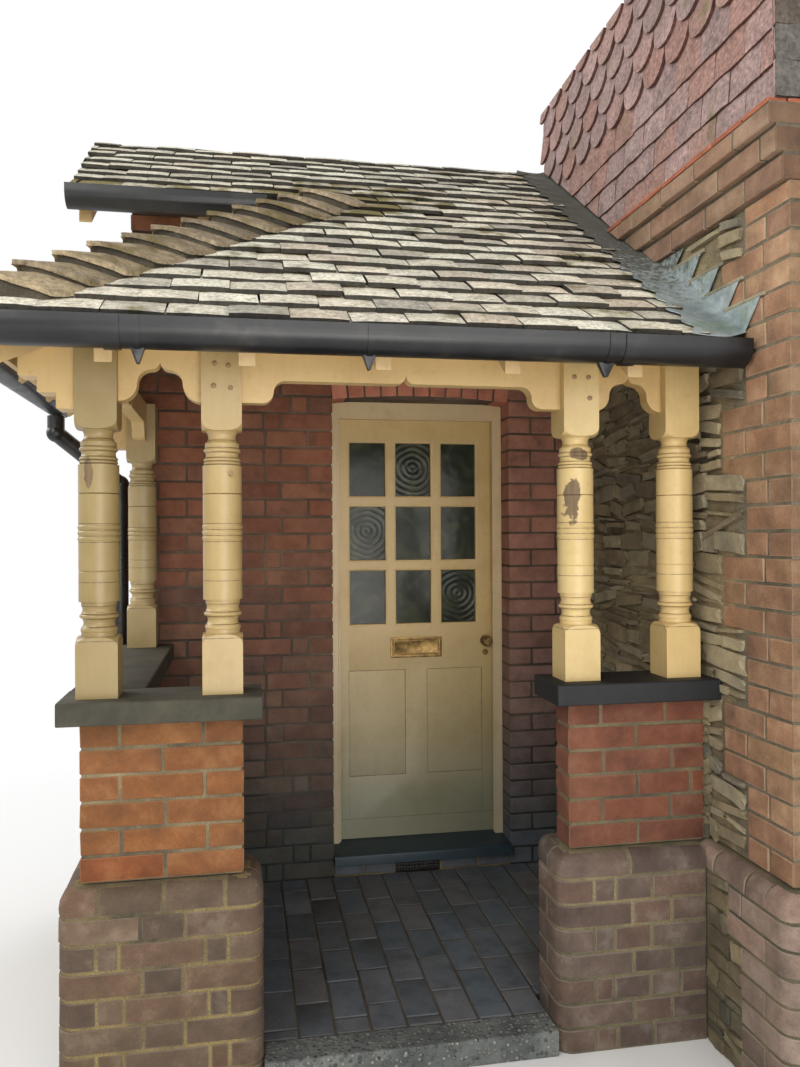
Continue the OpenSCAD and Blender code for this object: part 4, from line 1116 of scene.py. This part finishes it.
# Plates, corbels and frets: sawn softwood planks, the frets cut to a pointed curve,
# tenoned and pegged into the posts and painted with them.
trim_cream = paint("cream trim paint", (210, 179, 122), wood, 0.42, 0.6)
rafter_paint = paint("old rafter paint", (206, 176, 124), wood, 0.5, 0.9)
for name, node, arris, coat in (
    ("front_plate_timber", "front_plate", 0.004, trim_cream),
    ("side_plate_timber", "side_plate", 0.004, trim_cream),
    ("beam_corbel_ends", "beam_corbels", 0.003, trim_cream),
    ("middle_fret_board", "middle_fret", 0.003, trim_cream),
    ("left_bay_fret_board", "left_bay_fret", 0.003, trim_cream),
    ("right_bay_fret_board", "right_bay_fret", 0.003, trim_cream),
    ("side_bay_fret_board", "side_bay_fret", 0.003, trim_cream),
    ("rafters_timber", "rafters", 0.002, rafter_paint),
    ("hip_rafter_timber", "hip_rafter", 0.002, rafter_paint),
    ("fascia_boards", "fascia", 0.002, rafter_paint),
):
    eased(name, node, "cream_timber", arris, coat)

# Roof slopes: hand made plain clay tiles of 165 by 265 mm, hung on battens at a 100 mm
# gauge with broken joints, each course lying on the two below it. The boards under
# them are cut flush with the rafters. Lichen and moss stain the tiles where it is damp.
tile_wide, tile_long = 0.165, 0.265
half_tile = tile_wide / 2
hip_shift, row_step, side_eave, main_left, main_right = 1.042, 1.085 / 13, -1.242, -1.133, 0.87
hip_out = Vector((-1, 1, 0)).normalized()


def slope_z(along):
    """The height of a slope over its distance in from the eave's edge."""
    return eave_high + along * math.tan(pitch)


def weathered_tile(name, colours, lichen, moss, bump=0.55, edges=(0.035, 0.034, 0.033)):
    """Old roof tile: sandy and pale on top, its edges and butts darkened as painted shade,
    spotted by lichen and covered by moss where the tile's own moss share is high."""
    m = Look(name)
    moss = seen_as(moss)
    wear, fine = m.wear(15.0, m.times(m.mark("tone"), 41.0)), m.wear(70.0, 6.0)["Cloud"]
    colour = m.mottle(0.8, m.tones(colours), wear["Cloud"], (0.3, 0.45), (0.5, 0.97), (0.7, 1.25))
    colour = m.mottle(0.75, colour, fine, (0.36, 0.4), (0.5, 0.96), (0.64, 1.35))
    colour = m.mix(m.times(m.ramp(fine, (0.6, 0.0), (0.66, 1.0)), 0.55), colour, lichen)
    green = m.add(fine, 0.35, m.add(m.mark("moss"), 0.3, m.wear(6.0, 12.0)["Cloud"]))
    green = m.ramp(green, (0.77, 0.0), (0.88, 1.0))
    tuft = m.ramp(wear["Grain"], (0.3, scaled(moss, 0.35)), (0.6, moss), (0.8, scaled(moss, 1.7)))
    colour = m.mix(green, colour, tuft)
    # Painted shade: the butts and sides of each tile take the given dark edge colour.
    colour = m.stain_and_shade(m.times(m.mark("arris"), 0.97), colour, edges)
    ground = m.add(wear["Pits"], 0.3, m.add(wear["Grain"], 0.4, wear["Cloud"]))
    ground = m.add(m.times(green, wear["Grain"]), 3.0, ground)
    return m.close(colour, m.add(green, 0.1, 0.86), bump, 0.004, ground)


def reshape(rule):
    """Moves each corner of the open piece to where the rule puts it."""
    mesh = bpy.context.edit_object.data
    shape = bmesh.from_edit_mesh(mesh)
    for corner in shape.verts:
        corner.co = rule(*corner.co)
    bmesh.update_edit_mesh(mesh)


def flat_tile(rows, wide, long, thick, rule):
    """A tile lying on its bed, its tail at the origin and its top at zero, made from a
    sheet with rows across and along, and shaped by a rule."""
    bpy.ops.mesh.primitive_grid_add(x_subdivisions=rows[0], y_subdivisions=rows[1], size=1)
    tile = bpy.context.object
    tile.scale, tile.location.y = (wide, long, 1), long / 2
    settle(True)
    edit(tile)
    thicken(thick)
    reshape(rule)
    return pattern(tile, lambda face: abs(face.normal.z) < 0.6, ("tone", "moss"))


def clay_tile(seed, chip):
    """A plain tile, slightly cambered both ways, its tail uneven and in one of them chipped
    at a corner."""
    odd = random.Random(seed)
    tail = [odd.uniform(-0.0025, 0.0025) for _ in range(5)]

    def rule(x, y, z):
        side, way = x / 0.0815, y / tile_long
        z -= 0.002 * side * side + 0.004 * (1 - way) ** 4
        if way < 0.01:
            y += tail[round(side * 2) + 2]
            y += (0.016 if side > 0.9 else 0.004 if side > 0.4 else 0) if chip else 0
        return x, y, z

    return flat_tile((4, 4), tile_wide - 0.002, tile_long, 0.014, rule)


roof_tiles = [clay_tile(seed, seed == 16) for seed in (2, 9, 16, 23)]


def facing(right, up):
    """The turn that lays a tile on a face, by the face's own right and up."""
    return Matrix((right, up, right.cross(up))).transposed().to_4x4()


def lay_tile(parts, at, right, up, moss, drop=0.0, short=1.0):
    """One tile with its tail at a place on the slope, tipped as the course below makes it,
    and cut short where the courses above hide it."""
    tip = turned(x=-0.16 + chance.gauss(0, 0.012), y=chance.gauss(0, 0.009), z=chance.gauss(0, 0.008))
    lift = max(0.0, chance.gauss(0.004, 0.0022)) - drop
    at = at + right.cross(up) * lift + up * (chance.uniform(-0.006, 0.004) if not drop else 0.004)
    turn = facing(right, up) @ tip @ Matrix.Diagonal((1, 0.66 * short, 1, 1))
    set_mark(set_copy(parts, chance.choice(roof_tiles), at, turn, chance.random(), 0), "moss", moss)


# The tops are pale as weathered clay and lighter still as painted sunlight.
sunlit_tile_clay = weathered_tile(
    "weathered plain tile with painted sunlight",
    [(222, 215, 194), (245, 238, 215), (198, 190, 170), (250, 247, 226), (230, 215, 191), (181, 175, 160),
     (236, 228, 208)],
    (216, 208, 182), (150, 136, 82),
)
right, up = inward_x, Vector((0, math.cos(pitch), math.sin(pitch)))
porch_part, main_part = [], []
for k in range(21):
    y, on_porch = eave + k * row_step, k < 13
    start, parts = (y - hip_shift, porch_part) if on_porch else (main_left, main_part)
    x = main_right - (half_tile if k % 2 else 0.0)
    while x > start - 0.15:
        near_hip = max(0.0, 1 - abs(x - y + hip_shift) / 0.45) if k < 16 else 0.0
        damp = 0.75 * near_hip * min(1.0, max(0.0, k / 6))
        damp += 0.45 if 11 <= k <= 13 and x < 0.35 else 0.0
        damp += 0.35 * max(0.0, 1 - (main_right - x) / 0.35)
        damp += 0.35 * max(0.0, 1 - (x + 1.2) / 0.5) if not on_porch else 0.0
        at = Vector((x + chance.gauss(0, 0.002), y, slope_z(y - eave)))
        lay_tile(parts, at, right, up, min(1.0, damp))
        if k in (0, 13):
            lay_tile(parts, at + right * half_tile, right, up, 0.2, 0.0125, 0.5)
        x -= tile_wide
porch_part, main_part = joined(porch_part), joined(main_part)
cut(porch_part, (-hip_shift, 0, 0), hip_out)
cut(main_part, (main_left, 0, 0), -inward_x)
cut(main_part, (0, back, 0), inward_y)
parts = [porch_part, main_part]
for part in parts:
    cut(part, (0.872, 0, 0), inward_x)
finish_with(parts, sunlit_tile_clay)

sawn_board = paint("unpainted roof boards", (104, 84, 60), wood, 0.75, 0.9)
bonnet_mortar = lime_mortar("dark bonnet bedding", (104, 96, 80), (40, 37, 32))


def board_under(parts, outline, along_x, top=0.044, thick=0.0095, material=sawn_board):
    """A boarded face or a strip of bedding, drawn from above and lifted to its slope."""
    bpy.ops.mesh.primitive_plane_add(size=1)
    made = bpy.context.object
    edit(made, "SELECT")
    bpy.ops.mesh.delete(type="VERT")
    shape = bmesh.from_edit_mesh(made.data)
    heights = [slope_z(x - side_eave if along_x else y - eave) - top for x, y in outline]
    shape.faces.new([shape.verts.new((*at, z)) for at, z in zip(outline, heights)])
    bmesh.update_edit_mesh(made.data)
    thicken(thick)
    leave()
    made.data.materials.append(material)
    parts.append(made)


def bed_strip(parts, x0, x1, y0, y1, along_x, top, thick):
    """Bedding in the open end of a roof slope."""
    outline = [(x0, y0), (x1, y0), (x1, y1), (x0, y1)]
    board_under(parts, outline, along_x, top, thick, bonnet_mortar)


outline = [(-1.222, -0.18), (0.99, -0.18), (0.99, back), (-1.125, back), (-1.125, 0.905), (-0.137, 0.905)]
board_under(parts, outline, False)
bed_strip(parts, -1.131, -1.112, 0.89, 1.507, False, 0.016, 0.03)
bed_strip(parts, -1.13, 0.95, 1.492, 1.507, False, 0.014, 0.031)
assemble("front_roof_tiles", parts, ["front_roof_slope"], "roof_tile", smooth=30)

right, up = -inward_y, Vector((math.cos(pitch), 0, math.sin(pitch)))
parts = []
for k in range(16):
    x = side_eave + k * row_step
    y = house - (half_tile if k % 2 else 0.0)
    while y > x + hip_shift - 0.12:
        if y < 0.93 or x < y - 1.162 - 0.24:
            damp = 0.7 * max(0.0, 1 - abs(x - y + hip_shift) / 0.45)
            at = Vector((x, y + chance.gauss(0, 0.002), slope_z(x - side_eave)))
            lay_tile(parts, at, right, up, min(1.0, damp))
            if k == 0:
                lay_tile(parts, at - right * half_tile, right, up, 0.2, 0.0125, 0.5)
        y -= tile_wide
parts = [joined(parts)]
cut(parts[0], (-hip_shift, 0, 0), -hip_out)
cut(parts[0], (0, 1.284, 0), inward_y)
finish_with(parts, sunlit_tile_clay)
outline = [(-1.222, -0.18), (-0.178, 0.864), (-0.34, 0.9), (0.03, 1.284), (-1.222, 1.284)]
board_under(parts, outline, True)
bed_strip(parts, -1.222, -0.96, 1.268, 1.282, True, 0.016, 0.03)
assemble("side_roof_tiles", parts, ["side_roof_slope"], "roof_tile", smooth=30)

# Hip tiles: twelve clay bonnets, one to a course, their mouths in line with the courses
# of both slopes and bedded in mortar that shows dark under them. Their tops are pitted.
bonnet_clay = weathered_tile(
    "weathered bonnet tile",
    [(151, 133, 105), (170, 152, 124), (131, 117, 96), (182, 163, 129)],
    (190, 184, 160), (146, 130, 80), 0.8,
)


def bonnet_line(half, up):
    """Places across a bonnet and their heights, rounded at the crown and falling to both
    wings."""
    full = math.sqrt(0.141 ** 2 + 0.0016) - 0.04
    places = [half * k / 6 for k in range(-6, 7)]
    return [(side, up - 0.07 * (math.sqrt(side ** 2 + 0.0016) - 0.04) / full) for side in places]


def bonnet_body(half, up, back_by, thick, seed):
    """A bonnet or its bedding along its tilted axis, its mouth drawn back as a V."""
    tilt = math.atan(math.tan(pitch) / math.sqrt(2)) - math.radians(15)
    bpy.ops.mesh.primitive_grid_add(x_subdivisions=7, y_subdivisions=12, size=2)
    made = bpy.context.object
    line = bonnet_line(half, up)
    odd = random.Random(seed)
    wobble = [odd.uniform(-0.004, 0.004) for _ in line]

    def rule(x, y, z):
        k = round((y + 1) * 6)
        side, high = line[k]
        mouth = (abs(side) + back_by + wobble[k] + high * math.sin(tilt)) / math.cos(tilt)
        return mouth + (0.252 - mouth) * (x + 1) / 2, side, high + z

    edit(made)
    thicken(thick)
    reshape(rule)
    ease(55, 0.0018)
    leave()
    made.rotation_euler.y = -tilt
    settle(rotation=True)
    return pattern(made, lambda face: face.normal.x < -0.6, ("tone", "moss"))


bonnet_shapes = [bonnet_body(0.141, 0.0, 0.0, 0.014, s) for s in (1, 2, 3)]
bonnet_bed = bonnet_body(0.126, -0.010, 0.014, 0.11, 4)
parts, beds = [], []
for i in range(12):
    along = (0.066 + i * row_step * math.sqrt(2)) / math.sqrt(2)
    at = (side_eave + along, eave + along, slope_z(along) + 0.068)
    turn = turned(z=math.pi / 4 + chance.gauss(0, 0.02))
    turn = turn @ turned(x=chance.gauss(0, 0.02), y=chance.gauss(0, 0.012))
    one = set_copy(parts, chance.choice(bonnet_shapes), at, turn, chance.random(), 0.0004)
    set_mark(one, "moss", 0.35 if i > 5 else 0.2)
    set_copy(beds, bonnet_bed, at, turned(z=math.pi / 4), 0.5, 0.0008)
finish_with(parts, bonnet_clay)
finish_with(beds, bonnet_mortar)
assemble("bonnet_tiles", parts + beds, ["hip_tiles"], "roof_tile", smooth=40)

# Lead gutter: sheet lead dressed over the ends of the tiles against the wing, so that
# it ripples with the courses; its free edge is wavy and leaf mould darkens its upper part.
m = Look("weathered sheet lead")
wear, fine = m.wear(7.0, 2.0), m.wear(48.0, 5.0)
colour = m.ramp(wear["Cloud"], (0.34, (126, 138, 142)), (0.5, (164, 176, 178)), (0.66, (200, 208, 206)))
green = m.times(m.ramp(m.wear(10.0, 15.0)["Cloud"], (0.5, 0.0), (0.62, 1.0)), 0.7)
colour = m.mix(green, colour, (122, 142, 118))
colour = m.mottle(0.4, colour, fine["Cloud"], (0.35, 0.6), (0.5, 1.0), (0.65, 1.2))
mould = m.ramp(m.add(m.axis("Y"), 0.42, m.times(fine["Cloud"], 0.9)), (0.5, 0.0), (0.62, 0.9))
leaf_mould = ((0.35, (42, 38, 32)), (0.6, (96, 90, 76)), (0.75, (128, 122, 104)))
colour = m.mix(mould, colour, m.ramp(fine["Grain"], *leaf_mould))
ground = m.add(wear["Cloud"], 1.2, m.times(fine["Cloud"], 0.6))
ground = m.add(m.times(mould, wear["Grain"]), 2.0, ground)
lead = m.close(colour, m.add(mould, 0.35, 0.5), 0.6, 0.005, ground, Metallic=m.add(mould, -0.3, 0.35))


def dressed_lead(x, y, z):
    """Lays a flat sheet over the courses of tiles."""
    across, y = x + 0.5, eave - 0.004 + (y + 0.5) * 1.712
    course = ((y - eave) / row_step) % 1.0
    sag = 0.010 * (1 - course) if course > 0.12 else 0.010 * course / 0.12
    wave = 0.010 * math.sin(2 * math.pi * (course - 0.1)) + 0.004 * math.sin(37 * y)
    lift = 0.003 + sag * (1 - across) + 0.010 * max(0, across - 0.7) / 0.3
    lift -= 0.006 * math.sin(math.pi * across)
    return 0.826 + wave * (1 - across) ** 2 + across * 0.163, y, slope_z(y - eave) + lift - 0.004


bpy.ops.mesh.primitive_grid_add(x_subdivisions=9, y_subdivisions=164, size=1)
sheet = bpy.context.object
edit(sheet)
reshape(dressed_lead)
thicken(0.0025)
leave()
sheet.data.materials.append(lead)
assemble("lead_gutter_sheet", [sheet], ["lead_gutter"], "sheet_lead", smooth=50)

# Stepped flashing: short pieces of the same lead against the wall, each let into a joint
# of the brickwork at its top, leaning forward and lapped over the one below it. Mortar
# holds their top edges.
pointing = lime_mortar("pale pointing", (186, 176, 148), (120, 112, 94))
wing_front, string_low, cut_high = -0.415, 2.57, 3.65
step_low, step_run = 2.286, course_high / math.tan(pitch)
parts = []
for k in range(5):
    y0, top = eave - 0.08 + k * step_run, step_low + k * course_high
    y1 = eave + (top - eave_high) / math.tan(pitch) + 0.012
    if k == 4:
        y1, top = 0.335, 2.568

    def step(x, y, z):
        """Puts a corner of a plate in its place."""
        lower, far, out = z < 0, y > 0, x < 0
        y = y1 if far else y0 + (0.08 if lower else 0.0)
        x = 0.9885 - (0.0022 if out else 0.0) - (0.0016 if lower else 0.0) - 0.0004 * k
        return x, y, min(slope_z(y - eave) + 0.004, top - 0.004) if lower else top

    bpy.ops.mesh.primitive_cube_add(size=1)
    piece = bpy.context.object
    edit(piece, "SELECT")
    reshape(step)
    bpy.ops.mesh.bevel(offset=0.0006, segments=1, affect="EDGES")
    leave()
    piece.data.materials.append(lead)
    parts.append(piece)
    if k < 4:
        bed(parts, (0.9835, y0 - 0.02, top - 0.002), (0.9945, y1 - 0.03, top + 0.009), pointing)
assemble("stepped_lead_flashing", parts, ["stepped_flashing"], "sheet_lead")

# Gutters and downpipe: deep half round black plastic, in lengths joined by unions, held
# by brackets whose pointed ends show below. Sun has dulled the plastic.
m = Look("black plastic")
cloud = m.wear(6.0, 7.0)["Cloud"]
drawn = m.put("Mapping", {"Vector": m.where, "Scale": (1.2, 20.0, 20.0)})
streak = m.put("TexNoise", {"Vector": drawn, "Scale": 1.0, "Detail": 4.0})
colour = m.ramp(cloud, (0.35, (22, 23, 25)), (0.55, (34, 35, 37)), (0.7, (62, 60, 56)))
colour = m.mottle(0.35, colour, streak, (0.35, 0.7), (0.5, 1.0), (0.68, 1.9))
plastic = m.close(colour, m.add(streak, 0.35, 0.14), 0.12, 0.001, cloud)
dress(("front_gutter", "side_gutter", "main_eave_gutter", "downpipe"), plastic)
clips = []
for x, wide in ((-0.77, 0.046), (-0.154, 0.046), (0.54, 0.062)):
    bpy.ops.mesh.primitive_cube_add(size=1, location=(x, -0.2025, 2.0755), scale=(wide, 0.026, 0.053))
    clips.append(bpy.context.object)
    edit(clips[-1])
    pick("FACE", lambda at, part: part.normal.z < -0.9)
    bpy.ops.transform.resize(value=(0.16, 0.6, 1))
    bpy.ops.mesh.select_all(action="SELECT")
    bpy.ops.mesh.bevel(offset=0.0018, segments=2, affect="EDGES")
    leave()
finish_with(clips, plastic)
assemble("gutter_bracket_ends", clips, [], "black_plastic", smooth=40)

# Wing wall: rubble of thin split stones in thick lime mortar, between toothed brick
# quoins at its front corner, three courses to a tooth. The mortar body is the wall.
pink_clay = fired_clay(
    "weathered pink brick",
    [(158, 120, 92), (171, 129, 98), (148, 112, 88), (176, 139, 108), (162, 127, 94)], (192, 168, 138), 0.4,
)
wing_mortar = lime_mortar("grey wing mortar", (158, 146, 120), (86, 80, 68))
inner = party - 0.0115


def front_painted_shade(material, share):
    """Painted shade: darkens the face that looks out to the garden, but not the side."""
    m = Look(made=material)
    unshaded_colour = m.shader.inputs["Base Color"].links[0].from_socket
    front = m.span(m.axis("Y"), wing_front + 0.003, wing_front + 0.006, 1.0, 0.0)
    feed(m.tree, m.shader, {"Base Color": m.stain_and_shade(front, unshaded_colour, share)})


# Painted shade on the quoins' front faces.
front_painted_shade(pink_clay, (0.64, 0.65, 0.62))
parts = []
course, low = 0, plinth_high
while low < string_low - 0.02:
    high = min(brick_high, string_low - low - 0.004)
    if (course // 3) % 2:
        reach, marks = 0.355, [0, 0.225, 0.355] if course % 2 else [0, 0.13, 0.355]
    else:
        reach, marks = 0.225, [0, 0.225] if course % 2 else [0, 0.112, 0.225]
    side = (wing_face, wing_front + reach, -90)
    lay_course(parts, side, low + joint / 2, marks, 0.103, high, last=(0.103,))
    lay_course(parts, (wing_face, wing_front, 0), low + joint / 2, [0.103, 0.225], 0.1, high)
    low += course_high
    course += 1
finish_with(parts, pink_clay)
stop = wing_front + 0.29
bed(parts, (0.9945, wing_front + 0.0045, plinth_high), (inner, stop, string_low), wing_mortar)
bed(parts, (1.203, wing_front + 0.095, plinth_high), (party, stop, string_low), plaster)
assemble("wing_quoin_bricks", parts, ["wing_quoins"], "pink_brick")

wall_stone = fired_clay(
    "dark rubble slips",
    [(125, 111, 89), (158, 145, 114), (144, 129, 102), (173, 159, 128), (121, 116, 102), (184, 170, 136),
     (153, 144, 121)],
    (180, 166, 128), 0.3, bump=0.9,
)
parts = []
low = plinth_high + 0.004
while low < string_low - 0.015:
    high = min(chance.choice((0.018, 0.024, 0.032, 0.044, 0.06)), string_low - low)
    course = int((low - plinth_high) / (3 * course_high))
    y = wing_front + (0.225 if course % 2 == 0 else 0.355) + 0.012
    while y < house - 0.02:
        long = min(chance.uniform(0.06, 0.24), house - y)
        tooth = step_low + math.floor((y + long + 0.28) / step_run) * course_high
        flashed = slope_z(y - eave) - 0.08 < low + high and low < tooth and y < 0.345
        if long > 0.03 and (low < slope_z(y - eave) + 0.02 or y < 0.3) and not flashed:
            thin = high * chance.choice((1, 1, 0.55, 0.8))
            x = 0.9935 + chance.uniform(-0.003, 0.008)
            z = low + high / 2 + (high - thin) * chance.uniform(-0.5, 0.5)
            set_stone(parts, (x, y + long / 2, z), (long, 0.026, thin), -90, chance.gauss(0, 0.11))
        y += long + chance.uniform(0.006, 0.02)
    low += high + chance.uniform(0.006, 0.014)
finish_with(parts, wall_stone)
for near, far, material in (
    ((0.9955, stop, plinth_high), (inner, back - 0.012, string_low), rubble_mortar),
    ((0.991, wing_front + 0.012, string_low), (inner, back - 0.012, cut_high), wing_mortar),
    ((0.991, back - 0.0125, plinth_high), (1.204, back, cut_high), plaster),
    ((1.203, stop, plinth_high), (party, back, string_low), plaster),
    ((1.203, wing_front + 0.012, string_low), (party, back, cut_high), plaster),
):
    bed(parts, near, far, material)
assemble("wing_wall_rubble", parts, ["wing_wall"], "rubble_stone", smooth=0)

# String course: three corbelled brick courses with an orange tile fillet on top, which
# throws the water off below the hanging tiles. It dies into the roof slope behind.
string_clay = fired_clay(
    "weathered string brick",
    [(141, 110, 89), (152, 118, 95), (132, 103, 85), (157, 127, 105), (144, 116, 91)], (172, 152, 130), 0.4,
)
fillet_clay = fired_clay(
    "orange fillet tile", [(178, 98, 68), (164, 86, 62), (190, 110, 80)], (196, 150, 118), 0.3,
)
# Painted shade on the string course's front face.
front_painted_shade(string_clay, (0.55, 0.50, 0.44))
parts, fillets = [], []
string_back = house - 0.08
length = string_back - wing_front
for k, x in enumerate((0.97, 0.95, 0.93)):
    low, high = string_low + k * course_high + joint / 2, brick_high - (0.012 if k == 2 else 0)
    marks = paced(0, length, offset=0.19 if k % 2 else 0.08)
    lay_course(parts, (x, string_back, -90), low, marks, 0.1, high, last=(0.1,))
    lay_course(parts, (x, wing_front, 0), low, [0.1, party - x], 0.1, high)
lay_course(fillets, (0.926, string_back, -90), 2.785, paced(0, length, tile_wide), 0.06, 0.0135)
lay_course(fillets, (0.926, wing_front, 0), 2.785, [0.06, 0.289], 0.06, 0.0135)
finish_with(parts, string_clay)
finish_with(fillets, fillet_clay)
for k, x in enumerate((0.974, 0.954, 0.934)):
    low = string_low + k * course_high + joint / 2 + 0.003
    high = low + course_high - (0.018 if k == 2 else 0)
    bed(parts, (x, wing_front + 0.004, low), (1.2, string_back, high), wing_mortar)
string = joined(parts + fillets)
roof_down = Vector((0, math.sin(pitch), -math.cos(pitch)))
cut(string, (0, eave, eave_high + 0.006), roof_down)
assemble("string_course_bricks", [string], ["string_course"], "pink_brick")

# Tile hanging: clay tiles hung upright on battens over the brickwork, four courses of
# plain tiles and then club tiles with round tails, all cut to the slope of the roof.
hung_clay = weathered_tile(
    "dusty pink hanging tile",
    [(166, 135, 126), (157, 121, 111), (175, 147, 143), (151, 127, 124), (164, 140, 137)],
    (210, 178, 156), (136, 130, 84), 0.3, (0.3, 0.2, 0.17),
)
# Painted shade on the hanging tiles' front returns.
front_painted_shade(hung_clay, (0.32, 0.43, 0.41))
club_long, club_round = 0.2, 0.0806


def round_tail(x, y, z):
    """Draws the corners of a club tile in to its round tail."""
    drawn = club_round - math.sqrt(max(0, club_round ** 2 - x ** 2))
    return x, y + drawn * (1 - y / club_long), z


club = flat_tile((12, 3), 0.161, club_long, 0.012, round_tail)
hung_x, hung_low, gauge, shorter = 0.951, 2.801, 0.1, Matrix.Diagonal((1, 0.74, 1, 1))
parts = []
turn = facing(-inward_y, upward)
for k in range(9):
    y = wing_front + (half_tile if k % 2 else tile_wide)
    while y - half_tile < back:
        tip = turned(x=-0.12 + chance.gauss(0, 0.004), y=chance.gauss(0, 0.006), z=chance.gauss(0, 0.006))
        x = hung_x + chance.uniform(-0.001, 0.001)
        at = (x, y - half_tile, hung_low + k * gauge + chance.uniform(-0.002, 0.002))
        if k < 4:
            set_copy(parts, roof_tiles[chance.randrange(2)], at, turn @ tip @ shorter, chance.random(), 0)
        else:
            set_copy(parts, club, at, turn @ tip, chance.random(), 0)
        y += tile_wide
hung = joined(parts)
cut(hung, (0, wing_front, 0), -inward_y)
parts = []
turn = facing(inward_x, upward)
for k in range(9):
    for x in (0.0815, 0.2465) if k % 2 else (-0.001, 0.164):
        tip = turned(x=-0.05, z=chance.gauss(0, 0.006))
        at = (hung_x + x, wing_front - 0.007, hung_low + k * gauge)
        set_copy(parts, roof_tiles[0], at, turn @ tip @ shorter, chance.random(), 0)
returns = joined(parts)
cut(returns, (hung_x, 0, 0), -inward_x)
cut(returns, (party, 0, 0), inward_x)
cut(returns, (0, 0, cut_high), upward)
hung = joined([hung, returns])
cut(hung, (0, back, 0), inward_y)
cut(hung, (0, 0, cut_high), upward)
middle = (0.985, (wing_front + back) / 2, (2.80 + cut_high) / 2)
bpy.ops.mesh.primitive_cube_add(size=1, location=middle, scale=(0.012, back - wing_front - 0.01, 0.85))
batten = bpy.context.object
settle(True)
for piece, material in ((hung, hung_clay), (batten, wing_mortar)):
    cut(piece, (0, eave, eave_high + 0.012), roof_down)
    piece.data.materials.append(material)
assemble("hanging_tiles", [hung, batten], ["tile_hanging"], "hanging_tile", smooth=30)
